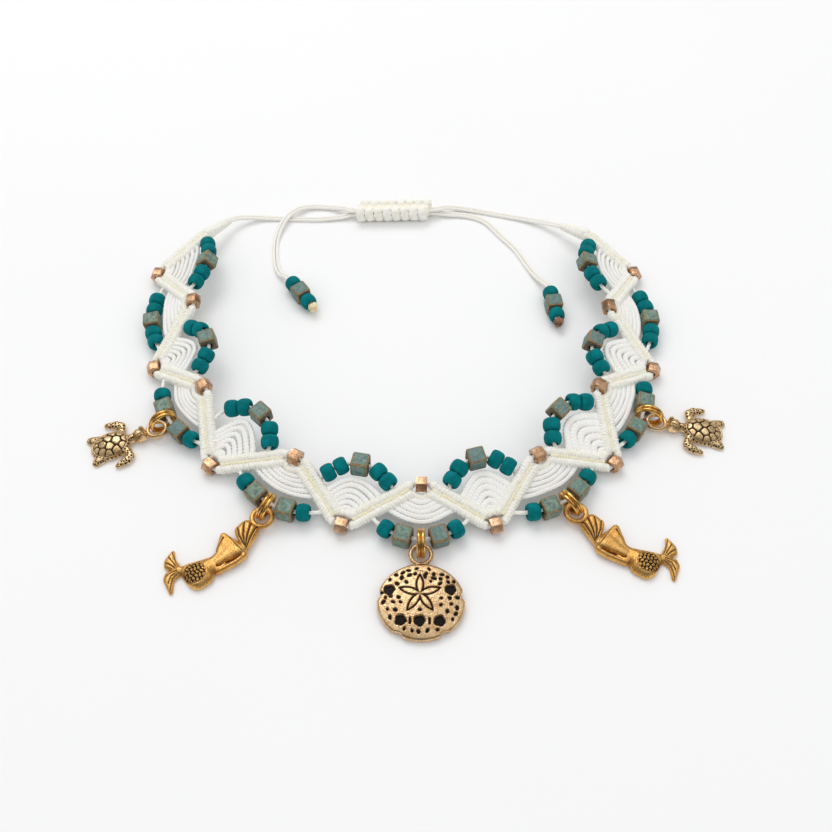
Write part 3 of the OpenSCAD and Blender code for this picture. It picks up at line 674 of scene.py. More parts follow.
def readVectors(mesh, kind="co"):
    values = np.empty(len(mesh.vertices) * 3, np.float32)
    mesh.vertices.foreach_get(kind, values)
    return values.reshape(-1, 3).astype(float)


def writePoints(mesh, points):
    mesh.vertices.foreach_set("co", points.astype(np.float32).ravel())
    mesh.update()


def keepLocal(piece, scale):
    # the piece's own coordinates, so that its finish goes with it
    own = readVectors(piece.data) / scale
    layer = piece.data.attributes.new("ownPoint", "FLOAT_VECTOR", "POINT")
    layer.data.foreach_set("vector", own.astype(np.float32).ravel())


def movedTo(point):
    return Matrix.Translation(Vector(toFrame(point).tolist()))


def placeOf(along, place, roll=0.0):
    along = unit(along)
    side = unit(np.cross([0, 0, 1], along))
    rise = np.cross(along, side)
    turn = Matrix((along.tolist(), side.tolist(), rise.tolist())).transposed().to_4x4()
    return movedTo(place) @ turn @ Matrix.Rotation(math.radians(roll), 4, "X") @ Matrix.Scale(0.001, 4)


def arcPlace(arc, angle, length, roll=0.0):
    out = arc["out"] * math.cos(angle) + arc["chord"] * math.sin(angle)
    along = arc["chord"] * math.cos(angle) - arc["out"] * math.sin(angle)
    place = arc["centre"] + out * (arc["radius"] - length * length / (16 * arc["radius"]))
    return placeOf(along, place, roll)


def copiesOf(model, name, places, seed, nodes, slot, vary=0.0):
    chance = random.Random(seed)
    pieces = []
    for place in places:
        piece = bpy.data.objects.new(name, model.data.copy())
        size = 1 + vary * chance.uniform(-1, 1)
        spin = Matrix.Rotation(chance.uniform(0, 6.28) if vary else 0, 4, "X")
        piece.data.transform(place @ spin @ Matrix.Scale(size, 4))
        addValues(piece.data, "tint", [chance.random()] * len(piece.data.vertices))
        bpy.context.scene.collection.objects.link(piece)
        pieces.append(piece)
    whole = joinParts(pieces)
    whole.name = name
    handOver(whole, slot, *nodes)
    bpy.ops.object.select_all(action="DESELECT")
    return whole


# Beads: each kind is modelled once at the origin in millimetres, its hole along X,
# and every bead on the anklet is a copy with its own mesh
tealBead = {"diameter": 3.8, "length": 2.78, "bore": 1.5, "squareness": 2.85, "shoulder": 0.11}


def modelTealBead():
    outer, inner, halfLength = tealBead["diameter"] / 2, tealBead["bore"] / 2, tealBead["length"] / 2
    middle, halfWall = (outer + inner) / 2, (outer - inner) / 2
    bpy.ops.mesh.primitive_torus_add(major_segments=28, minor_segments=16, location=(0, 0, 0),
                                     major_radius=middle, minor_radius=halfWall)
    bead = bpy.context.object
    bead.name = "tealModel"
    power = 2 / tealBead["squareness"]
    for v in bead.data.vertices:
        ringDistance = math.hypot(v.co.x, v.co.y)
        a = math.atan2(v.co.z, ringDistance - middle)
        wide = math.copysign(abs(math.cos(a)) ** power, math.cos(a)) * halfWall
        tall = math.copysign(abs(math.sin(a)) ** power, math.sin(a)) * halfLength
        fade = 1 - tealBead["shoulder"] * (abs(tall) / halfLength) ** 2.2
        new = (middle + wide) * (fade if wide > 0 else 1)
        v.co.x, v.co.y, v.co.z = v.co.x / ringDistance * new, v.co.y / ringDistance * new, tall
    bead.data.transform(Matrix.Rotation(math.pi / 2, 4, "Y"))
    activeOnly(bead)
    bpy.ops.object.shade_smooth()
    keepLocal(bead, outer)
    return bead


def drillHole(bead, bore, turn):
    bpy.ops.mesh.primitive_cylinder_add(vertices=24, radius=bore / 2, depth=6, rotation=(0, turn, 0))
    drill = bpy.context.object
    activeOnly(bead)
    applyModifier(bead, "BOOLEAN", {"operation": "DIFFERENCE", "object": drill, "solver": "EXACT"})
    bpy.data.objects.remove(drill)


def smoothEdges(bead, angle, scale):
    # flat faces stay flat, and only the rounded edges between them are shaded round
    editWhole(bead)
    bpy.ops.mesh.quads_convert_to_tris()
    closeEdit()
    bpy.ops.object.shade_smooth_by_angle(angle=math.radians(angle))
    keepLocal(bead, scale)


cubeBead = {"side": 3.7, "bore": 1.5, "edge": 0.5}


def modelCubeBead():
    bpy.ops.mesh.primitive_cube_add(size=cubeBead["side"], location=(0, 0, 0))
    bead = bpy.context.object
    bead.name = "cubeModel"
    editWhole(bead)
    bpy.ops.mesh.bevel(offset=cubeBead["edge"], segments=4, affect="EDGES", profile=0.5)
    closeEdit()
    drillHole(bead, cubeBead["bore"], math.pi / 2)
    smoothEdges(bead, 32, cubeBead["side"] / 2)
    return bead


copperBead = {"diameter": 3.5, "length": 2.3, "bore": 1.4, "edge": 0.09, "inward": 0.1, "innerRoll": 12,
              "unrolled": 8}


def modelCopperBead():
    bpy.ops.mesh.primitive_cylinder_add(vertices=6, radius=copperBead["diameter"] / 2,
                                        depth=copperBead["length"], location=(0, 0, 0))
    bead = bpy.context.object
    bead.name = "copperModel"
    editWhole(bead)
    bpy.ops.mesh.bevel(offset=copperBead["edge"], segments=2, affect="EDGES", profile=0.6)
    closeEdit()
    drillHole(bead, copperBead["bore"], 0)
    bead.data.transform(Matrix.Rotation(math.pi / 2, 4, "Y"))
    smoothEdges(bead, 25, copperBead["diameter"] / 2)
    return bead


tealLook = {"dark": (0.0, 0.125, 0.14, 1), "light": (0.0, 0.215, 0.235, 1), "greener": (0.0, 0.15, 0.145, 1),
            "clouds": 1.6, "frost": 22, "frostDepth": 0.25, "gloss": 0.06}


def tealFinish(look):
    material, shader = newMaterial("frostedTealGlass")
    own = carried("ownPoint", "Vector")
    tone = mixColour(ramp(noiseOn(own, look["clouds"], 3), 0.3, 0.7), look["dark"], look["light"])
    tone = mixColour(ramp(carried("tint"), 0, 1, 0, 0.5), tone, look["greener"])
    frost = noiseOn(own, look["frost"], 4)
    bumpOn(shader, frost, look["frostDepth"], 0.00004)
    feed(shader, {
        "Base Color": tone, "Roughness": ramp(frost, 0.3, 0.7, 0.5, 0.68),
        "Specular IOR Level": look["gloss"], "Subsurface Weight": 0.2,
        "Subsurface Radius": (0.0002, 0.0008, 0.0009), "Subsurface Scale": 0.6})
    return material


# colours of the patina; the near-black one is painted shade inside the bore
patinaLook = {
    "dark": (0.08, 0.15, 0.12, 1), "light": (0.235, 0.33, 0.255, 1), "chalk": (0.32, 0.40, 0.33, 1),
    "speckle": (0.05, 0.10, 0.08, 1), "bluer": (0.10, 0.19, 0.20, 1), "halo": (0.17, 0.125, 0.062, 1),
    "worn": (0.52, 0.30, 0.11, 1), "hole": (0.035, 0.022, 0.012, 1), "ends": (0.10, 0.065, 0.03, 1),
    "blotchScale": 1.9, "grainScale": 4.6, "speckleScale": 7, "wornShine": 0.55, "relief": 0.5}


def patinaFinish(look):
    material, shader = newMaterial("greenPatina")
    own, tint = carried("ownPoint", "Vector"), carried("tint")
    size = addNode("ShaderNodeVectorMath", {0: own}, operation="ABSOLUTE").outputs["Vector"]
    x, y, z = addNode("ShaderNodeSeparateXYZ", {"Vector": size}).outputs
    nearEdge = pairOf("MAXIMUM", pairOf("MAXIMUM", pairOf("MINIMUM", x, y), pairOf("MINIMUM", y, z)),
                      pairOf("MINIMUM", x, z))
    spread = addNode("ShaderNodeCombineXYZ", {0: pairOf("MULTIPLY", tint, 40.0)}).outputs[0]
    moved = addNode("ShaderNodeVectorMath", {0: own, 1: spread}, operation="ADD").outputs["Vector"]
    blotch, grain = noiseOn(moved, look["blotchScale"], 5), noiseOn(moved, look["grainScale"], 5)
    speckle = noiseOn(moved, look["speckleScale"], 4)
    halo = pairOf("ADD", nearEdge, pairOf("MULTIPLY", blotch, 0.5))
    worn = ramp(pairOf("ADD", nearEdge, pairOf("MULTIPLY", grain, 0.7)), 1.18, 1.31)
    rim = pairOf("ADD", pairOf("MULTIPLY", y, y), pairOf("MULTIPLY", z, z))
    # painted shade: the bore and a ring round its two mouths are painted near black
    hole = pairOf("MULTIPLY", ramp(rim, 0.42, 0.2), ramp(pairOf("MAXIMUM", y, z), 0.75, 0.6))
    tone = mixColour(ramp(blotch, 0.38, 0.62), look["dark"], look["light"])
    for amount, colour in (
            (ramp(grain, 0.48, 0.62, 0, 0.6), "chalk"), (ramp(speckle, 0.53, 0.64, 0, 0.75), "speckle"),
            (ramp(tint, 0.2, 1, 0, 0.6), "bluer"), (ramp(halo, 0.96, 1.12, 0, 0.85), "halo"),
            (worn, "worn"), (hole, "hole"), (ramp(x, 0.93, 0.985, 0, 0.75), "ends")):
        tone = mixColour(amount, tone, look[colour])
    bumpOn(shader, pairOf("ADD", grain, pairOf("MULTIPLY", blotch, 0.8)), look["relief"], 0.00008)
    feed(shader, {"Base Color": tone, "Metallic": pairOf("MULTIPLY", worn, look["wornShine"]),
                  "Roughness": ramp(grain, 0.3, 0.7, 0.5, 0.72)})
    return material


metalLooks = {
    "roseCopper": {"pale": (0.81, 0.52, 0.32, 1), "deep": (0.46, 0.25, 0.14, 1),
                   "grime": (0.18, 0.08, 0.04, 1), "rough": 0.22, "scale": 1.1, "speck": 0.8},
    "ringGold": {"pale": (0.98, 0.62, 0.20, 1), "deep": (0.82, 0.44, 0.10, 1),
                 "grime": (0.20, 0.09, 0.02, 1), "rough": 0.16, "scale": 1.4, "speck": 0.7},
    "amberCastGold": {"pale": (0.92, 0.56, 0.19, 1), "deep": (0.78, 0.42, 0.12, 1),
                      "grime": (0.24, 0.11, 0.03, 1), "rough": 0.4, "scale": 0.4, "speck": 0.75},
    "paleCastGold": {"pale": (0.90, 0.65, 0.38, 1), "deep": (0.68, 0.43, 0.21, 1),
                     "grime": (0.13, 0.07, 0.03, 1), "rough": 0.25, "scale": 0.5, "speck": 0.95},
    "smokedCastGold": {"pale": (0.99, 0.75, 0.44, 1), "deep": (0.86, 0.58, 0.29, 1),
                       "grime": (0.12, 0.065, 0.025, 1), "rough": 0.28, "scale": 0.6, "speck": 0.75}}
blackened = (0.010, 0.006, 0.004, 1)


def metalFinish(name, look):
    material, shader = newMaterial(name)
    own, recess = carried("ownPoint", "Vector"), carried("recess")
    fine = noiseOn(own, look["scale"] * 9, 5)
    tone = mixColour(ramp(noiseOn(own, look["scale"], 4), 0.35, 0.65), look["pale"], look["deep"])
    tone = mixColour(ramp(fine, 0.54, 0.68, 0, look["speck"]), tone, look["grime"])
    tone = mixColour(ramp(recess, 0.25, 0.8), tone, blackened)
    bumpOn(shader, fine, 0.6, 0.00008)
    feed(shader, {
        "Base Color": tone, "Metallic": ramp(recess, 0.3, 0.8, 1.0, 0.0), "Specular IOR Level": 0.12,
        "Roughness": ramp(fine, 0.3, 0.7, look["rough"], look["rough"] + 0.16)})
    return material


tealGlass, patina = tealFinish(tealLook), patinaFinish(patinaLook)
copper, ringGold, mermaidGold, dollarGold, turtleGold = [metalFinish(*entry) for entry in metalLooks.items()]
tealModel, cubeModel, copperModel = modelTealBead(), modelCubeBead(), modelCopperBead()
for model, finish in ((tealModel, tealGlass), (cubeModel, patina), (copperModel, copper)):
    model.data.materials.append(finish)

# lengths along a fan's thread
beadRow = {"gap": 0.12, "ringRoom": 3.68, "endRadius": 1.25, "teal": 2.75, "cube": 3.7}
# how far each fan's cubes are rolled about their thread, in degrees
cubeRoll = [[0, 0], [40, 0], [8, 0], [8, 0], [8, 10], [6, 0], [10, 4], [-6, 0], [6, 9], [6, 0],
            [10, 6], [24, 0], [6, 10], [20, 0], [5, 0], [26, 0]]


def rowAngles(i):
    r = fanArc(i)["radius"]
    gap, slide = beadRow["gap"] / r, fans[i][4] / r
    halfCube = math.atan(beadRow["cube"] / 2 / (r - beadRow["cube"] / 2))
    halfTeals = beadRow["teal"] / 2 if i in charmFans else beadRow["teal"] + beadRow["gap"] / 2
    room = beadRow["ringRoom"] / r
    cubes = [slide - room, slide + room] if i in charmFans else [slide]
    near = halfCube + math.atan(halfTeals / (r - beadRow["endRadius"])) + gap
    return cubes, [cubes[0] - near, cubes[-1] + near]


for i in range(1, lastCorner):
    arc = fanArc(i)
    cubes, teals = rowAngles(i)
    if i in charmFans:
        places = [arcPlace(arc, a, beadRow["teal"]) for a in teals]
    else:      # two beads end to end on one line
        step = beadRow["teal"] + beadRow["gap"]
        places = [arcPlace(arc, a, 2 * beadRow["teal"] + beadRow["gap"])
                  @ Matrix.Translation((s * step / 2, 0, 0)) for a in teals for s in (-1, 1)]
    copiesOf(tealModel, "teal_row_%d" % i, places, i, ["teal_beads_%d" % i], "teal_glass", 0.02)
    for k, a in enumerate(cubes):
        node = "cube_bead_%d%s" % (i, "ab"[k] if i in charmFans else "")
        place = arcPlace(arc, a, beadRow["cube"], cubeRoll[i][k])
        copiesOf(cubeModel, node + "_worn", [place], 50 + 2 * i + k, [node], "patina_cube")
# the inner copper beads are rolled a little toward the light, all but the one in front
for name, first, roll in (("copper_beads_outer", 1, 0), ("copper_beads_inner", 2, copperBead["innerRoll"])):
    places = [placeOf(acrossCorner(i), corners[i] + bisector(i) * copperBead["inward"],
                      0 if i == copperBead["unrolled"] else roll)
              for i in range(first, lastCorner, 2)]
    copiesOf(copperModel, name + "_cut", places, first, [name], "copper")
print("beads: placed on", lastCorner - 1, "threads and corners")

# Tail beads and the melted cord ends
tails = {"left": {"cube": [-27.3, 35.1, 2], "dir": [2.8, -4.1, 0], "end": [-24.5, 31, 2], "roll": 4},
         "right": {"cube": [32.35, 31.4, 2], "dir": [0.65, -5.1, 0], "end": [33, 26.3, 2], "roll": -3}}
tailStep = (beadRow["cube"] + beadRow["teal"]) / 2 + 0.2      # from the cube to each teal bead
meltedEnd = {"radius": 1.2, "shift": 0.45, "towardBead": 0.45, "outward": 1.15,
             "cream": [(0.90, 0.83, 0.58, 1), (0.74, 0.56, 0.26, 1)],
             "brown": [(0.36, 0.17, 0.08, 1), (0.10, 0.045, 0.02, 1)]}


def modelMeltedEnd(name, tone, burnt):
    bpy.ops.mesh.primitive_ico_sphere_add(subdivisions=4, radius=meltedEnd["radius"], location=(0, 0, 0))
    blob = bpy.context.object
    blob.name = name
    for v in blob.data.vertices:
        p = v.co
        lump = (0.07 * math.sin(4.1 * p.x + 1.3 * p.y) + 0.06 * math.sin(3.3 * p.y - 2 * p.z + 1)
                + 0.04 * math.sin(7 * p.z + 3 * p.x))
        p *= 1 + lump
        p.x *= meltedEnd["towardBead"] if p.x < 0 else meltedEnd["outward"]
        p.x += meltedEnd["shift"]
    activeOnly(blob)
    bpy.ops.object.shade_smooth()
    keepLocal(blob, meltedEnd["radius"])
    material, shader = newMaterial(name + "Finish")
    own = carried("ownPoint", "Vector")
    bumpOn(shader, noiseOn(own, 4, 4), 0.5, 0.0001)
    feed(shader, {"Base Color": mixColour(ramp(noiseOn(own, 1.3, 4), 0.35, 0.65), tone, burnt),
                  "Roughness": ramp(noiseOn(own, 5, 3), 0.3, 0.7, 0.25, 0.5)})
    blob.data.materials.append(material)
    return blob


meltedCream = modelMeltedEnd("meltedCream", *meltedEnd["cream"])
meltedBrown = modelMeltedEnd("meltedBrown", *meltedEnd["brown"])
for which, model in (("left", meltedCream), ("right", meltedBrown)):
    tail = tails[which]
    d, middle = unit(tail["dir"]), np.array(tail["cube"], float)
    copiesOf(tealModel, "tail_teal_%s_pair" % which, [placeOf(d, middle + d * s * tailStep) for s in (-1, 1)],
             7, ["tail_teal_" + which], "teal_glass", 0.02)
    copiesOf(cubeModel, "tail_cube_%s_worn" % which, [placeOf(d, middle, tail["roll"])], 8,
             ["tail_cube_" + which], "patina_cube")
    copiesOf(model, "tail_end_%s_melted" % which, [placeOf(d, np.array(tail["end"], float))], 9,
             ["tail_end_" + which], "melted_end_cream" if which == "left" else "melted_end_brown")
print("tails: beads and melted ends on")

# Jump rings: two turns of wire each, hung between the thread and a charm
ringLook = {"diameter": 6.0, "wire": 0.75, "drawn": 0.84, "pitch": 0.86, "out": 1.45, "clear": 0.02,
            "lean": [0, -14, 0, 14, 0]}
# where each charm's loop lies, and which way the charm points from it, in degrees
charmPlace = [[-55.6, -4.7], [-31.1, -26.9], [0.95, -35.5], [32.4, -25.8], [51.8, -2.8]]
charmDir = [202, 217, 270, 329, 349]
charmNames = ["turtle_left", "mermaid_left", "sand_dollar", "mermaid_right", "turtle_right"]


def modelJumpRing():
    parts = []
    for s in (-1, 1):
        bpy.ops.mesh.primitive_torus_add(major_segments=64, minor_segments=14,
                                         location=(0, 0, s * ringLook["pitch"] / 2),
                                         major_radius=(ringLook["diameter"] - ringLook["wire"]) / 2,
                                         minor_radius=ringLook["drawn"] / 2)
        parts.append(bpy.context.object)
    joinParts(parts)
    ring = settle()
    ring.name = "ringModel"
    bpy.ops.object.shade_smooth()
    keepLocal(ring, ringLook["diameter"] / 2)
    return ring


ringModel = modelJumpRing()
ringModel.data.materials.append(ringGold)
for c, name in enumerate(charmNames):
    arc, slide = fanArc(charmFans[c]), fans[charmFans[c]][4]
    a = slide / arc["radius"]
    p = arc["centre"] + (arc["out"] * math.cos(a) + arc["chord"] * math.sin(a)) * arc["radius"]
    heading = math.atan2(charmPlace[c][1] - p[1], charmPlace[c][0] - p[0])
    lean = math.radians(ringLook["lean"][c])
    lift = (ringLook["diameter"] - ringLook["wire"]) / 2 * math.cos(lean) + ringLook["wire"] / 2 \
        + ringLook["clear"] + ringLook["pitch"] / 2 * abs(math.sin(lean))
    place = movedTo([p[0], p[1], 0]) @ Matrix.Rotation(heading, 4, "Z") \
        @ Matrix.Translation((ringLook["out"] * 0.001, 0, lift * 0.001)) \
        @ Matrix.Rotation(math.pi / 2 + lean, 4, "X") @ Matrix.Scale(0.001, 4)
    copiesOf(ringModel, "jump_ring_%s_wire" % name, [place], c, ["jump_ring_" + name], "ring_gold")
print("jump rings: hung")

# Cast charms: balls and hulls are fused by a voxel remesh, then grooves, pits and
# plates are carved into the upper face. Local millimetres: loop at the origin, body to -Y.
castWork = {
    "voxel": 0.09, "lumpVoxel": 0.12, "kept": 0.6, "smoothing": 3, "loopRadius": 2.07, "loopWire": 0.46,
    "loopZ": 1.05, "floorGap": 0.03, "hollowRounds": 8, "hollowDepth": 0.06, "hollowDark": 0.85}


def castLump(balls):
    parts = []
    for x, y, rx, ry, h in balls:
        bpy.ops.mesh.primitive_uv_sphere_add(segments=24, ring_count=14, radius=1, location=(x, y, 0),
                                             scale=(rx, ry, h))
        parts.append(bpy.context.object)
    joinParts(parts)
    lump = settle()
    editWhole(lump)
    bpy.ops.mesh.convex_hull()
    bpy.ops.mesh.select_all(action="SELECT")
    bpy.ops.mesh.bisect(plane_co=(0, 0, 0), plane_no=(0, 0, 1), use_fill=True, clear_inner=True)
    closeEdit()
    return lump


def castLoop(radius, wire, flat=1.15):
    bpy.ops.mesh.primitive_torus_add(major_segments=48, minor_segments=14, location=(0, 0, wire * flat),
                                     major_radius=radius, minor_radius=wire)
    bpy.ops.transform.resize(value=(1, 1, flat))
    return settle()


def fuseParts(parts, voxel, rounds):
    # one skin over the parts, with its creases worn away as in a casting
    piece = joinParts(parts)
    applyModifier(piece, "REMESH", {"mode": "VOXEL", "voxel_size": voxel})
    applyModifier(piece, "SMOOTH", {"factor": 0.5, "iterations": rounds})
    return piece


def castBody(name, parts):
    piece = fuseParts(parts, castWork["voxel"], castWork["smoothing"])
    piece.name = name
    return piece


def hollowness(mesh, points, normals, rounds):
    # how far each point lies below its smoothed surroundings
    count = len(points)
    edges = np.empty(len(mesh.edges) * 2, np.int32)
    mesh.edges.foreach_get("vertices", edges)
    a, b = edges.reshape(-1, 2).T
    degree = np.bincount(a, minlength=count) + np.bincount(b, minlength=count)
    soft = points.copy()
    for _ in range(rounds):
        soft = np.stack([(np.bincount(a, soft[b, k], count) + np.bincount(b, soft[a, k], count)) / degree
                         for k in range(3)], -1)
    return ((soft - points) * normals).sum(1)


def carve(piece, reliefOf, finish):
    mesh = piece.data
    points, normals = readVectors(mesh), readVectors(mesh, "normal")
    facing = np.clip((normals[:, 2] - 0.05) / 0.35, 0, 1)
    depth, dark = reliefOf(points)
    points[:, 2] -= depth * facing
    writePoints(mesh, points)
    points, normals = readVectors(mesh), readVectors(mesh, "normal")
    hollow = hollowness(mesh, points, normals, castWork["hollowRounds"])
    hollow = np.clip(hollow / castWork["hollowDepth"], 0, 1)
    hollow *= np.clip((points[:, 2] - 0.1) / 0.3, 0, 1)
    addValues(mesh, "recess", np.maximum(dark * facing, hollow * castWork["hollowDark"]))
    activeOnly(piece)
    applyModifier(piece, "DECIMATE", {"ratio": castWork["kept"]})
    bpy.ops.object.shade_smooth()
    keepLocal(piece, 1.0)
    piece.data.materials.append(finish)


def press(relief, depth, dark):
    # keeps the deeper and the darker of what is there and what comes
    relief[0], relief[1] = np.maximum(relief[0], depth), np.maximum(relief[1], dark)


def softEdge(distance, reach, soft=0.12):
    return np.clip((reach + soft / 2 - distance) / soft, 0, 1)


def turnedBy(points, angle):
    c, s = math.cos(angle), math.sin(angle)
    return points[:, 0] * c + points[:, 1] * s, points[:, 1] * c - points[:, 0] * s


def lineDistance(points, line):
    best = np.full(len(points), 1e9)
    for a, b in zip(line[:-1], line[1:]):
        a, b = np.array(a, float), np.array(b, float)
        t = np.clip(((points[:, :2] - a) @ (b - a)) / ((b - a) @ (b - a)), 0, 1)
        best = np.minimum(best, np.linalg.norm(points[:, :2] - a - t[:, None] * (b - a), axis=1))
    return best


def charmPlaceAt(c, length):
    x, y = charmPlace[c]
    return movedTo([x, y, castWork["loopZ"] + castWork["floorGap"]]) \
        @ Matrix.Rotation(math.radians(charmDir[c] + 90), 4, "Z") \
        @ Matrix.Rotation(math.asin(castWork["loopZ"] / length), 4, "X") @ Matrix.Scale(0.001, 4)


sandDollar = {
    "length": 18, "middle": -10.1, "width": 17.0, "height": 15.9, "thick": 2.3, "rim": 1.2,
    "roundedEdge": 0.42, "notchReach": 1.2, "notchDepth": 0.6,
    "star": (-0.2, 1.2), "petalRadius": 3.9, "petalOff": 3.2, "petalMiddle": 1.9,
    "bigPits": [(-6.1, 2.2), (5.7, 2.2), (-3.9, -4.0), (-0.3, -4.2), (3.5, -4.2)],
    "slits": [(-2.1, -4.2), (1.6, -4.3)],
    "notches": [(-4.6, -7.2), (4.8, -7.1), (8.6, 1.2), (-8.7, 1.4)],
    "smallPits": [
        (-0.8, 6.7), (1.6, 6.6), (-2.4, 6.3), (-3.5, 5.8), (-4.8, 5.4), (-2.2, 5.2), (2.5, 5.4), (4.1, 5.4),
        (5.2, 4.9), (-3.7, 4.7), (-2.8, 3.7), (-4.6, 3.4), (1.9, 3.8), (3.7, 3.4), (5.3, 3.8), (6.4, 4.0),
        (0.8, 4.9), (2.5, 4.5), (3.8, 4.4), (-7.6, 1.7), (-4.3, 0.5), (-6.8, 0.6), (-5.3, -0.4),
        (-3.9, -0.5), (-7.2, -0.3), (3.9, 0.3), (5.5, 0.4), (7.0, 0.6), (3.8, -1.1), (5.8, -0.8),
        (-6.4, -1.8), (-4.9, -2.0), (-0.2, -2.1), (-5.9, -3.4), (6.9, -1.5), (5.0, -2.3), (6.6, -2.7),
        (6.0, -3.8), (-3.2, -5.7), (-1.7, -6.1), (-0.5, -6.3), (1.2, -6.1), (3.1, -5.9), (-5.8, 0.8),
        (-6.0, 4.4), (-1.1, 5.5), (1.0, 5.5)]}


def modelSandDollar():
    s = sandDollar
    bpy.ops.mesh.primitive_cylinder_add(
        vertices=96, radius=0.5, depth=s["rim"], location=(0, s["middle"], s["rim"] / 2),
        scale=(s["width"], s["height"], 1))
    disc = settle()
    bpy.ops.object.mode_set(mode="EDIT")
    pickFaces(disc, lambda centre, normal: abs(normal.z) > 0.9)
    bpy.ops.mesh.bevel(offset=s["roundedEdge"], segments=4, affect="EDGES")
    closeEdit()
    for v in disc.data.vertices:
        for x, y in s["notches"]:
            d = math.hypot(v.co.x - x, v.co.y - s["middle"] - y)
            if d < s["notchReach"]:
                pull = s["notchDepth"] * (1 - (d / s["notchReach"]) ** 2)
                r = math.hypot(v.co.x, v.co.y - s["middle"])
                v.co.x -= v.co.x / r * pull
                v.co.y -= (v.co.y - s["middle"]) / r * pull
    charm = castBody("sandDollarModel", [disc, castLoop(castWork["loopRadius"], castWork["loopWire"])])
    points = readVectors(charm.data)       # the disc swells toward its middle
    x, y = points[:, 0] / (s["width"] / 2), (points[:, 1] - s["middle"]) / (s["height"] / 2)
    rho = np.clip(x * x + y * y, 0, 1)
    top = np.clip(points[:, 2] / s["rim"], 0, 1)
    inDisc = np.clip((1.0 - rho) / 0.06, 0, 1)
    points[:, 2] += top * inDisc * ((s["thick"] - s["rim"]) * (1 - rho) ** 0.9 + 0.05)
    writePoints(charm.data, points)

    def reliefOf(points):
        p = points[:, :2] - [0, s["middle"]]
        relief = np.zeros((2, len(p)))
        chance = random.Random(3)

        def dig(d, reach, deep, soft=0.14):
            press(relief, deep * softEdge(d, reach, soft), softEdge(d, reach, soft * 0.7))

        for x, y in s["smallPits"]:
            a, stretch = chance.uniform(0, 3.1), chance.uniform(1.0, 1.55)
            u, v = turnedBy(p - [x, y], a)
            dig(np.hypot(u / stretch, v * 1.05), chance.uniform(0.27, 0.38), 0.36)
        for x, y in s["bigPits"]:
            a = np.arctan2(p[:, 1] - y, p[:, 0] - x)
            ragged = 1.04 + 0.06 * np.sin(3 * a + x) + 0.05 * np.sin(5 * a + y)
            dig(np.hypot(p[:, 0] - x, p[:, 1] - y) / ragged, 1.0, 0.6, 0.25)
        for x, y in s["slits"]:
            dig(lineDistance(p, [(x, y - 0.45), (x, y + 0.45)]), 0.22, 0.4)
        dig(lineDistance(p, [(-0.7, 6.15), (0.7, 6.15)]), 0.07, 0.12)
        star = np.full(len(p), 9.0)
        for k in range(5):
            u, v = turnedBy(p - s["star"], math.radians(72 * k))
            side = [np.hypot(u - e * s["petalOff"], v - s["petalMiddle"]) - s["petalRadius"] for e in (-1, 1)]
            star = np.minimum(star, np.maximum(*side))
        dig(np.abs(star + 0.03), 0.16, 0.32)
        x, y = p[:, 0], p[:, 1]
        inside = np.clip((0.86 - np.hypot(x / (s["width"] / 2), y / (s["height"] / 2))) / 0.05, 0, 1)
        ripple = np.sin(9.1 * x + 2 * np.sin(5 * y)) * np.sin(8.3 * y + 2 * np.sin(4.3 * x))
        relief[0] += 0.04 * inside * ripple
        press(relief, relief[0], inside * np.clip(ripple - 0.72, 0, 1) * 1.3)
        return relief

    carve(charm, reliefOf, dollarGold)
    return charm


